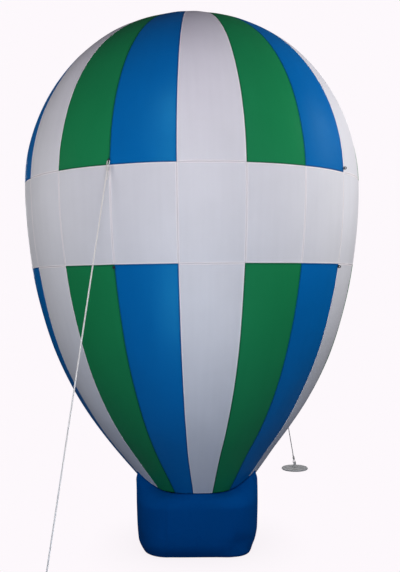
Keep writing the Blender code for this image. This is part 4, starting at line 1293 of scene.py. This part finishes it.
def add_housing():
    """Two moulded halves that meet in a screwed flange, hollow, with intake and spigot."""
    place = fan_place()
    half = HOUSING_HALF_WIDTH
    shell = Solid()
    add_scroll(shell)
    bell = ((half - 0.001, 0.0640), (half + 0.0018, 0.0652), (half + 0.0030, 0.0672),
            (half + 0.0030, 0.0690), (half + 0.0018, 0.0702), (half - 0.001, 0.0706))
    shell.hoop(bell[::-1], place, 72)
    spigot = sleeve_place(0.0)
    start, rim = SPIGOT_END_Y, BLOWER_PLACE[1] + OUTLET_FRONT
    shell.hoop(((start, SPIGOT_BORE), (start, SPIGOT_RADIUS - 0.0006), (start + 0.001, SPIGOT_RADIUS),
                (rim + 0.002, SPIGOT_RADIUS), (rim + 0.002, SPIGOT_BORE))[::-1], spigot, 72)
    shell.hoop(((rim - 0.0045, SPIGOT_RADIUS), (rim - 0.0045, 0.0830), (rim - 0.0035, 0.0840),
                (rim + 0.001, 0.0840), (rim + 0.001, SPIGOT_RADIUS))[::-1], spigot, 72)
    lip = ((-0.0022, -0.0035), (-0.0016, -0.0045), (0.0016, -0.0045), (0.0022, -0.0035),
           (0.0022, 0.0010), (-0.0022, 0.0010))
    shell.rings([level_ring(scroll_outline(inset), level, place) for level, inset in lip][::-1],
                closed=True)
    for boss in flange_places(0.0):
        shell.lathe(((-0.010, 0.0036), (-0.009, 0.0046), (0.008, 0.0046), (0.009, 0.0036)),
                    boss, 20)
    for rib in spread_round(place, 8, 22.5, 0.0845, half + 0.0008):
        shell.block(rib, (0.024, 0.0030, 0.0030), 0.0009)
    for x in (-0.128, -0.116, -0.104):
        shell.block(shifted(place, x, 0.050, -half - 0.0006), (0.004, 0.110, 0.003), 0.0009)
    shell.piece("blower_housing_shell", "black_plastic", ("blower_housing",))
    add_screws("blower_housing_screws", flange_places(0.0088), 0.0030)


def add_screw(solid, place, radius):
    """A round head with a socket in it, its top along the place's Z."""
    solid.lathe(((0.0, radius), (radius * 0.45, radius), (radius * 0.75, radius * 0.86),
                 (radius * 0.85, radius * 0.62), (radius * 0.85, radius * 0.50),
                 (radius * 0.30, radius * 0.46)), place, 24)


def add_screws(name, places, radius):
    """A set of screws as a piece of its own."""
    screws = Solid()
    for place in places:
        add_screw(screws, place, radius)
    screws.piece(name, "steel")


def add_fan_wheel():
    """Fan wheel: back plate, hub and curved vanes held by a front ring."""
    place = fan_place()
    wheel = Solid()
    wheel.lathe(((-0.0500, 0.0820), (-0.0496, 0.0835), (-0.0466, 0.0835), (-0.0462, 0.0820),
                 (-0.0462, 0.0240), (-0.0440, 0.0220), (-0.0200, 0.0170), (-0.0150, 0.0150),
                 (-0.0150, 0.0060)), place, 72)
    wheel.hoop(((0.0470, 0.0760), (0.0466, 0.0768), (0.0466, 0.0828), (0.0474, 0.0836),
                (0.0492, 0.0836), (0.0500, 0.0828), (0.0500, 0.0768), (0.0496, 0.0760))[::-1],
               place, 72)
    steps = 8
    reach = np.linspace(0.0620, 0.0822, steps)
    sweep = np.linspace(0.0, 1.0, steps) ** 1.6 * 0.20
    thick = 0.0007 + 0.0003 * np.sin(np.linspace(0, math.pi, steps))
    for vane in range(VANE_COUNT):
        turn = TURN * vane / VANE_COUNT + sweep
        line = vectors(reach * np.cos(turn), reach * np.sin(turn))
        ahead = np.gradient(line, axis=0)
        side = vectors(-ahead[:, 1], ahead[:, 0])
        side *= thick[:, None] / np.linalg.norm(side, axis=1)[:, None]
        outline = np.concatenate((line - side, (line + side)[::-1]))
        wheel.rings([level_ring(outline, level, place) for level in (-0.0466, 0.0470)],
                    caps=True)
    wheel.piece("fan_wheel", "grey_plastic", ("blower_impeller",), "fan_wheel", sharp=30)
    nut = Solid()
    nut.lathe(((-0.0150, 0.0070), (-0.0090, 0.0070), (-0.0085, 0.0062), (-0.0085, 0.0040),
               (-0.0060, 0.0036)), place, 6)
    nut.piece("fan_wheel_nut", "steel", body="fan_wheel")


def add_motor():
    """Finned motor with its seat flange, end cap and cable gland."""
    place = fan_place()
    sides = 192
    fins = np.tile((0.0, 0.0, 0.85, 1.0, 1.0, 0.85), sides // 6) * 0.0032
    core = 0.0468
    motor = Solid()
    motor.lathe((
        (-0.2000, 0.0300), (-0.1985, 0.0375), (-0.1960, 0.0418), (-0.1915, 0.0468),
        (-0.1880, 0.0494), (-0.1840, 0.0500), (-0.1830, 0.0494), (-0.1826, core),
        (-0.1822, core + 0.3 * fins), (-0.1810, core + fins), (-0.1060, core + fins),
        (-0.1048, core + 0.3 * fins), (-0.1042, core), (-0.1000, core), (-0.0985, 0.0480),
        (-0.0960, 0.0560), (-0.0950, 0.0604), (-0.0940, 0.0614), (-0.0925, 0.0620),
        (-0.0828, 0.0620), (-0.0828, SHAFT_RADIUS), (-0.0503, SHAFT_RADIUS)), place, sides)
    motor.hoop(((-0.2012, 0.0150), (-0.2012, 0.0170), (-0.1990, 0.0175), (-0.1990, 0.0145)),
               place, 48)
    for vent in spread_round(place, 16, 0.0, 0.0245, -0.2000):
        motor.block(vent, (0.013, 0.0026, 0.0022), 0.0007)
    gland = shifted(place, 0.018, -0.014, 0.0)
    motor.lathe(((-0.2180, 0.0046), (-0.2176, 0.0056), (-0.2150, 0.0066), (-0.2120, 0.0056),
                 (-0.2105, 0.0070), (-0.2080, 0.0060), (-0.2065, 0.0078), (-0.2040, 0.0080),
                 (-0.1900, 0.0080)), gland, 32)
    motor.lathe(((-0.2036, 0.0088), (-0.2030, 0.0096), (-0.1986, 0.0096), (-0.1980, 0.0088)),
                gland, 6)
    motor.piece("blower_motor_body", "grey_plastic", ("blower_motor",), sharp=30)
    seats = [turned(seat, 180, "X") for seat in spread_round(place, 4, 45, 0.0565, -0.0948)]
    add_screws("blower_motor_screws", seats, 0.0032)


def dome(reach):
    """Level of the intake guard at a distance from the fan's axis."""
    return HOUSING_HALF_WIDTH + 0.0045 + 0.0090 * (1 - (reach / GUARD_RADIUS) ** 2)


def add_guard():
    """Domed guard of zinc-plated wire, screwed over the intake."""
    place = fan_place()
    guard = Solid()
    for reach in (GUARD_RADIUS, 0.0640, 0.0515, 0.0390, 0.0265):
        guard.tube(level_ring(circle(reach), dome(reach), place), 0.0013, 8, closed=True)
    reach = np.linspace(0.010, GUARD_RADIUS, 14)
    for turn in np.radians(np.arange(6) * 60 + 30):
        spoke = vectors(reach * math.cos(turn), reach * math.sin(turn), dome(reach) - 0.0016)
        guard.tube(moved(spoke, place), 0.0015, 8)
    hub = dome(0.0)
    guard.lathe(((hub - 0.0030, 0.0140), (hub - 0.0024, 0.0150), (hub - 0.0004, 0.0148),
                 (hub + 0.0010, 0.0120), (hub + 0.0014, 0.0060)), place, 40)
    for foot in spread_round(place, 4, 45, 0.0800, HOUSING_HALF_WIDTH + 0.0038):
        guard.block(foot, (0.0150, 0.0090, 0.0012), 0.0004)
        add_screw(guard, shifted(foot, 0.0025, 0.0, 0.0006), 0.0030)
    guard.piece("intake_guard_wire", "steel", ("intake_guard",))


def add_handle():
    """Moulded carrying handle with a ribbed grip and screwed feet."""
    foot = BLOWER_PLACE[2] + OUTLET_HIGH + 0.0003
    y = BLOWER_PLACE[1] + HANDLE_Y
    side, top, bend = 0.055, foot + 0.0450, 0.016
    bends = np.linspace(math.pi, math.pi / 2, 9)
    rise = [(-side, z) for z in np.linspace(foot, top - bend, 9)[:-1]]
    turn_in = [(-side + bend + bend * math.cos(a), top - bend + bend * math.sin(a)) for a in bends]
    grip = [(x, top) for x in np.linspace(-side + bend, 0.0, 60)[1:]]
    left = np.array(rise + turn_in + grip)
    x, z = np.concatenate((left, left[-2::-1] * (-1, 1))).T
    flare = 1 + 0.25 * smooth((foot + 0.012 - z) / 0.012)
    rib = 1 + 0.035 * np.sign(np.sin(x * TURN / 0.0042)) * (np.abs(x) < 0.030)
    handle = Solid()
    handle.bar(vectors(x, y, z), 0.0068 * rib, 0.0128 * rib * flare, 32, 0.55)
    for x in (-side, side):
        handle.block(Matrix.Translation((x, y, foot + 0.0018)), (0.026, 0.038, 0.0036), 0.0012)
    handle.piece("blower_handle_moulding", "black_plastic", ("blower_handle",), sharp=50)
    seats = [Matrix.Translation((x, y + off, foot + 0.0036))
             for x in (-side, side) for off in (-0.0155, 0.0155)]
    add_screws("blower_handle_screws", seats, 0.0026)


def add_stand():
    """Rubber foot with a ridged sole and two saddles under the scroll."""
    stand = Solid()
    place = fan_place()
    floor = -BLOWER_PLACE[2]
    middle = BLOWER_PLACE[1] + 0.005
    stand.block(Matrix.Translation((0.0, middle, 0.0062)), (0.156, 0.210, 0.0076), 0.0018)
    for x in np.linspace(-0.070, 0.070, 11):
        stand.block(Matrix.Translation((x, middle, 0.0016)), (0.0080, 0.204, 0.0032), 0.0010)
    scroll = scroll_outline(0.0)
    saddle = scroll[(scroll[:, 1] < -0.070) & (scroll[:, 0] > -0.092)]
    saddle = saddle[np.argsort(saddle[:, 0])]
    first, last = saddle[0], saddle[-1]
    outline = np.concatenate(([(last[0] + 0.012, last[1] + 0.001)], saddle[::-1],
                              [(first[0] - 0.012, first[1] + 0.001), (-0.098, floor + 0.016),
                               (-0.100, floor + 0.009), (0.110, floor + 0.009),
                               (0.108, floor + 0.016)]))
    centre = outline.mean(axis=0)
    for low in (-0.078, 0.050):
        high = low + 0.028
        layers = ((low, 0.0015), (low + 0.0015, 0.0), (high - 0.0015, 0.0), (high, 0.0015))
        stand.rings([level_ring(centre + (outline - centre) * (1 - inset / 0.08), level, place)
                     for level, inset in layers], caps=True)
    stand.piece("blower_stand_rubber", "black_rubber", ("blower_stand",))


def add_switch():
    """Rocker switch in a bezel on the outlet's side."""
    place = shifted(fan_place(), -0.112, 0.100, HOUSING_HALF_WIDTH)
    bezel = Solid()
    bezel.block(shifted(place, 0.0, 0.0, 0.0010), (0.0300, 0.0220, 0.0040), 0.0012)
    bezel.piece("blower_switch_bezel", "grey_plastic")
    rocker = Solid()
    rocker.block(turned(shifted(place, 0.0, 0.0, 0.0026), 7, "Y"), (0.0220, 0.0140, 0.0050), 0.0014)
    rocker.piece("blower_switch_rocker", "black_plastic")


def add_blower():
    add_housing()
    add_fan_wheel()
    add_motor()
    add_guard()
    add_handle()
    add_stand()
    add_switch()


# Tabs, ropes and weights

def place_facing(spot, first, second):
    """A place at a spot, its X and its Y along two directions at right angles."""
    turn = Matrix((first, second, first.cross(second))).transposed().to_4x4()
    return Matrix.Translation(spot) @ turn


def seam_place(seam, length, out):
    """A place on a gore's seam: X out of the skin, Y up along the seam, Z to the side."""
    reach, height, slope = (float(v[0]) for v in meridian(np.array([length])))
    azimuth = FIRST_SEAM + seam * GORE_ANGLE
    outward = Vector(polar(math.cos(slope), azimuth, math.sin(slope)))
    upward = Vector(polar(-math.sin(slope), azimuth, math.cos(slope)))
    return place_facing(Vector(polar(reach, azimuth, height)) + outward * out, outward, upward)


def lug_place(seam, reach):
    """Place of a weight's eye: X up, Y towards the balloon."""
    azimuth = FIRST_SEAM + seam * GORE_ANGLE
    inward = Vector(polar(-1.0, azimuth, 0.0))
    return place_facing(Vector(polar(reach, azimuth, LUG_EYE_Z)), Vector((0.0, 0.0, 1.0)), inward)


def mirrored(layers):
    """Layers above the middle, and the same below it."""
    return [(-level, inset) for level, inset in layers[::-1]] + list(layers)


def eye_plate(rim_radius, eye_radius, foot, layers, place):
    """A lug with an eye; layers are levels along its Z with how far its edges draw in."""
    turns = np.radians(np.linspace(-90, 90, 17))
    rim = vectors(rim_radius * np.cos(turns), rim_radius * np.sin(turns))
    sides = [(-foot * t, rim_radius) for t in (0.35, 0.7, 1.0)]
    back = [(-foot, rim_radius * t) for t in (0.5, 0.0, -0.5)]
    under = [(-foot * t, -rim_radius) for t in (1.0, 0.7, 0.35)]
    rim = np.concatenate((rim, sides, back, under))
    eye = rim / np.hypot(rim[:, 0], rim[:, 1])[:, None]
    rings = []
    for level, inset in layers:
        outer = rim * (1 - inset / rim_radius)
        outer[:, 0] = np.where(rim[:, 0] <= -foot, -foot, outer[:, 0])
        rings.append(level_ring(outer, level, place))
    rings += [level_ring(eye * (eye_radius + inset), level, place) for level, inset in layers[::-1]]
    solid = Solid()
    solid.rings(rings, closed=True)
    return solid


def add_tabs():
    """Doubled webbing sewn into the seams, each with an eyelet."""
    layers = mirrored(((0.0001, 0.0005), (0.0004, 0.0), (0.0016, 0.0001), (0.0020, 0.0006)))
    for kind, station in tab_stations().items():
        for corner, seam in TAB_CORNERS:
            name = f"{kind}_tab_{corner}"
            place = seam_place(seam, station, TAB_EYE_OUT)
            tab = eye_plate(TAB_RIM_RADIUS, TAB_EYE_RADIUS, TAB_EYE_OUT, layers, place)
            tab.piece(f"{name}_webbing", "black_webbing", (name,))
            roped = kind == "guy" and corner in [rope for rope, _, _ in GUY_ROPES]
            level, bar = (0.0021, 0.0009) if roped else (0.0030, 0.0015)
            eyelet = Solid()
            for side in (-level, level):
                ring = level_ring(circle(TAB_EYELET_RADIUS, 28), side, place)
                eyelet.tube(ring, bar, 8, closed=True)
            eyelet.piece(f"{name}_eyelet", "black_plastic")


def twisted(path, radius, pitch):
    """Three strands laid round a path, with places along and across each strand."""
    centre, gone = resampled(path, pitch / 9)
    ahead, side = frames(centre)
    up = np.cross(ahead, side)
    rows, sides = len(centre), 7
    lobes = circle_turns(sides)
    cloth = vectors(lobes, gone[:, None], (1 + np.cos(lobes)) / 2).reshape(-1, 3)
    points, faces = [], []
    for strand in range(3):
        turn = TURN * (gone / pitch + strand / 3)
        out = np.cos(turn)[:, None] * side + np.sin(turn)[:, None] * up
        tangent = -np.sin(turn)[:, None] * side + np.cos(turn)[:, None] * up
        tangent = tangent * (TURN * radius * 0.52 / pitch) + ahead
        tangent /= np.linalg.norm(tangent, axis=1)[:, None]
        middle = centre + out * radius * 0.52
        ring = round_section(out, np.cross(tangent, out), lobes)
        points.append((middle[:, None] + ring * radius * 0.50).reshape(-1, 3))
        start = strand * rows * sides
        faces += grid_faces(rows, sides, True, start).tolist()
        faces += end_faces(start, rows, sides)
    return np.concatenate(points), np.tile(cloth, (3, 1)), faces


def rope_paths(top, low):
    """The rope's straight run, its two end loops, the turns that hold them and the tails."""
    line = np.array((low.translation - top.translation).normalized())
    paths = []
    for place, way, (cheek, hang, size, thin) in zip((top, low), (line, -line), ROPE_LOOPS):
        eye = np.array(place.translation)
        side = np.array(place.to_3x3().col[2])
        other = np.cross(way, side)
        half = [(0.060 * size, 0.0026), (0.042 * size, 0.0050), (0.024 * size, cheek + 0.0006),
                (0.011 * size, cheek + 0.0004), (hang + 0.0006, cheek * 0.6)]
        loop = [eye + way * a + side * b for a, b in half] + [eye + way * hang]
        loop += [eye + way * a - side * b for a, b in half[::-1]]
        paths.append((smooth_path(loop, 10), ROPE_RADIUS * thin))
        turns = np.linspace(0.0, 3.4 * TURN, 90)
        coil = eye + way * (0.052 * size + 0.0235 * turns / turns[-1])[:, None]
        coil = coil + COIL_RADIUS * (np.cos(turns)[:, None] * side + np.sin(turns)[:, None] * other)
        paths.append((coil, ROPE_RADIUS * THIN_TURNS))
        tail = [coil[-1] + way * a + other * b + side * c for a, b, c in ROPE_TAIL]
        paths.append((smooth_path(tail, 10), ROPE_RADIUS * THIN_TURNS))
    start = np.array(top.translation) + line * ROPE_START
    end = np.array(low.translation) - line * ROPE_STOP
    paths.insert(0, (np.stack((start, end)), ROPE_RADIUS))
    return paths


def add_guy_ropes():
    """Twisted ropes from the tabs to the weights."""
    for name, seam, reach in GUY_ROPES:
        top = seam_place(seam, tab_stations()["guy"], TAB_EYE_OUT)
        low = lug_place(seam, reach)
        points, cloth, faces = [], [], []
        size = 0
        for path, radius in rope_paths(top, low):
            made, spots, quads = twisted(path, radius, ROPE_PITCH * radius / ROPE_RADIUS)
            points.append(made)
            cloth.append(spots)
            faces += [[size + k for k in face] for face in quads]
            size += len(made)
        new_piece(f"guy_rope_{name}_strands", np.concatenate(points), faces,
                  "white_rope", (f"guy_rope_{name}",), cloth=np.concatenate(cloth))
        add_weight(name, low)


def add_lug(name, lug):
    """Lug of a weight, with its eye and the bead of weld round its foot."""
    layers = mirrored(((0.0038, 0.0), (0.0046, 0.0004), (0.0050, 0.0012)))
    plate = eye_plate(LUG_RIM_RADIUS, LUG_EYE_RADIUS, LUG_EYE_Z - 0.0136, layers, lug)
    bead = []
    for turn in circle_turns(40):
        across = math.copysign(abs(math.cos(turn)) ** 0.35, math.cos(turn)) * LUG_RIM_RADIUS
        through = math.copysign(abs(math.sin(turn)) ** 0.5, math.sin(turn)) * 0.0055
        bead.append((WEIGHT_HEIGHT - LUG_EYE_Z, across, through))
    wobble = 0.0021 + 0.0004 * np.sin(np.arange(40) * 2.1)
    plate.tube(moved(bead, lug), wobble, 8, closed=True)
    plate.piece(f"guy_weight_{name}_lug", "weight_steel")


def add_weight(name, lug):
    """Painted steel disc with a welded lug, on a rubber ring."""
    foot = Matrix.Translation((lug.translation.x, lug.translation.y, 0.0))
    edge = WEIGHT_RADIUS
    solid = Solid()
    solid.lathe(((0.0024, edge - 0.012), (0.0024, edge - 0.0012), (0.0032, edge - 0.0003),
                 (0.0048, edge), (0.0078, edge), (0.0092, edge - 0.0006), (0.0130, edge - 0.0042),
                 (0.0138, edge - 0.0056), (0.0140, edge - 0.0075), (0.0140, 0.060),
                 (0.0134, 0.0585), (0.0134, 0.0560), (0.0140, 0.0545), (0.0140, 0.010)),
                foot, 96)
    solid.piece(f"guy_weight_{name}_disc", "weight_steel", (f"guy_weight_{name}",))
    add_lug(name, lug)
    ring = Solid()
    ring.lathe(((0.0024, edge - 0.014), (0.0, edge - 0.013), (0.0, edge - 0.004),
                (0.0010, edge - 0.0028), (0.0024, edge - 0.0026)), foot, 96)
    ring.piece(f"guy_weight_{name}_rubber", "black_rubber")


# Stage, light and camera

def add_stage():
    """Pale floor that runs into the backdrop, with only a soft contact shadow."""
    bpy.ops.mesh.primitive_plane_add(size=60.0, location=(0.0, 0.0, -0.0005))
    floor = bpy.context.object
    floor.name = "floor"
    material = bpy.data.materials.new("pale_floor")
    material.use_nodes = True
    graph = Graph(material.node_tree)
    graph.tree.nodes.remove(graph.tree.nodes["Principled BSDF"])
    output = graph.tree.nodes["Material Output"]
    rays = graph.add("ShaderNodeLightPath").outputs["Is Camera Ray"]
    near = graph.add("ShaderNodeAmbientOcclusion", samples=16, only_local=False)
    graph.feeds(near.inputs, Distance=CONTACT_REACH, Color=colour(*BACKDROP))
    shadow = graph.mix(CONTACT_SHADOW, colour(*BACKDROP), near.outputs["Color"])
    shine = graph.add("ShaderNodeEmission", shadow)
    matt = graph.add("ShaderNodeBsdfDiffuse", colour(*FLOOR_BOUNCE))
    graph.feed(output.inputs["Surface"], graph.mix_shaders(rays, matt, shine))
    floor.data.materials.append(material)


def add_light():
    """Soft lamps round the balloon, strongest from the right, in a dim room."""
    world = bpy.data.worlds.new("studio")
    bpy.context.scene.world = world
    world.use_nodes = True
    graph = Graph(world.node_tree)
    room = world.node_tree.nodes["Background"]
    room.inputs["Color"].default_value = colour(*SKY_LIGHT)
    backdrop = graph.add("ShaderNodeBackground", colour(*BACKDROP))
    rays = graph.add("ShaderNodeLightPath").outputs["Is Camera Ray"]
    output = world.node_tree.nodes["World Output"]
    graph.feed(output.inputs["Surface"], graph.mix_shaders(rays, room, backdrop))
    for name, azimuth, reach, height, power, tint, shines in LAMPS:
        data = bpy.data.lights.new(name, "AREA")
        data.shape = "SQUARE"
        data.size = LAMP_SIZE
        data.energy = power
        data.color = tint
        lamp = bpy.data.objects.new(name, data)
        bpy.context.scene.collection.objects.link(lamp)
        lamp.location = polar(reach, math.radians(azimuth), height)
        lamp.rotation_mode = "QUATERNION"
        level_aim = Vector((-lamp.location.x, -lamp.location.y, 0.0))
        lamp.rotation_quaternion = level_aim.to_track_quat("-Z", "Y")
        lamp.visible_camera = False
        lamp.visible_glossy = shines


def add_camera():
    """The photograph's view."""
    data = bpy.data.cameras.new("view")
    data.sensor_fit = "AUTO"
    data.sensor_width = SENSOR_MM
    data.lens = LENS_MM
    camera = bpy.data.objects.new("view", data)
    bpy.context.scene.collection.objects.link(camera)
    level = Matrix.Rotation(math.radians(90) + CAMERA_PITCH, 4, "X")
    camera.matrix_world = (Matrix.Translation(CAMERA_PLACE) @ level
                           @ Matrix.Rotation(CAMERA_ROLL, 4, "Z"))
    bpy.context.scene.camera = camera
    bpy.context.scene.view_settings.view_transform = "Standard"


def build():
    make_finishes()
    add_gores("upper", BAND_TOP, CROWN_EDGE, (2, 3))
    add_gores("lower", base_top, BAND_BOTTOM, (0, 1))
    add_band()
    add_crown_patch()
    add_base_wall()
    add_base_floor()
    add_sleeve_collar()
    add_sleeve_tube()
    add_strap()
    add_buckle()
    add_zip_flap()
    add_zip()
    add_blower()
    add_tabs()
    add_guy_ropes()
    add_stage()
    add_light()
    add_camera()


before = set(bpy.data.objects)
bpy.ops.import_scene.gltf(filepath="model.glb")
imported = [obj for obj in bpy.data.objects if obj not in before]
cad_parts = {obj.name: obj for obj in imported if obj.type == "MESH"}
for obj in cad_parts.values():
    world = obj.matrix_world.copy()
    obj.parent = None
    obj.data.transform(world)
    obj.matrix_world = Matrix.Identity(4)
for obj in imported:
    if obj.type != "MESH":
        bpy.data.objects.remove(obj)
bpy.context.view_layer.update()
build()
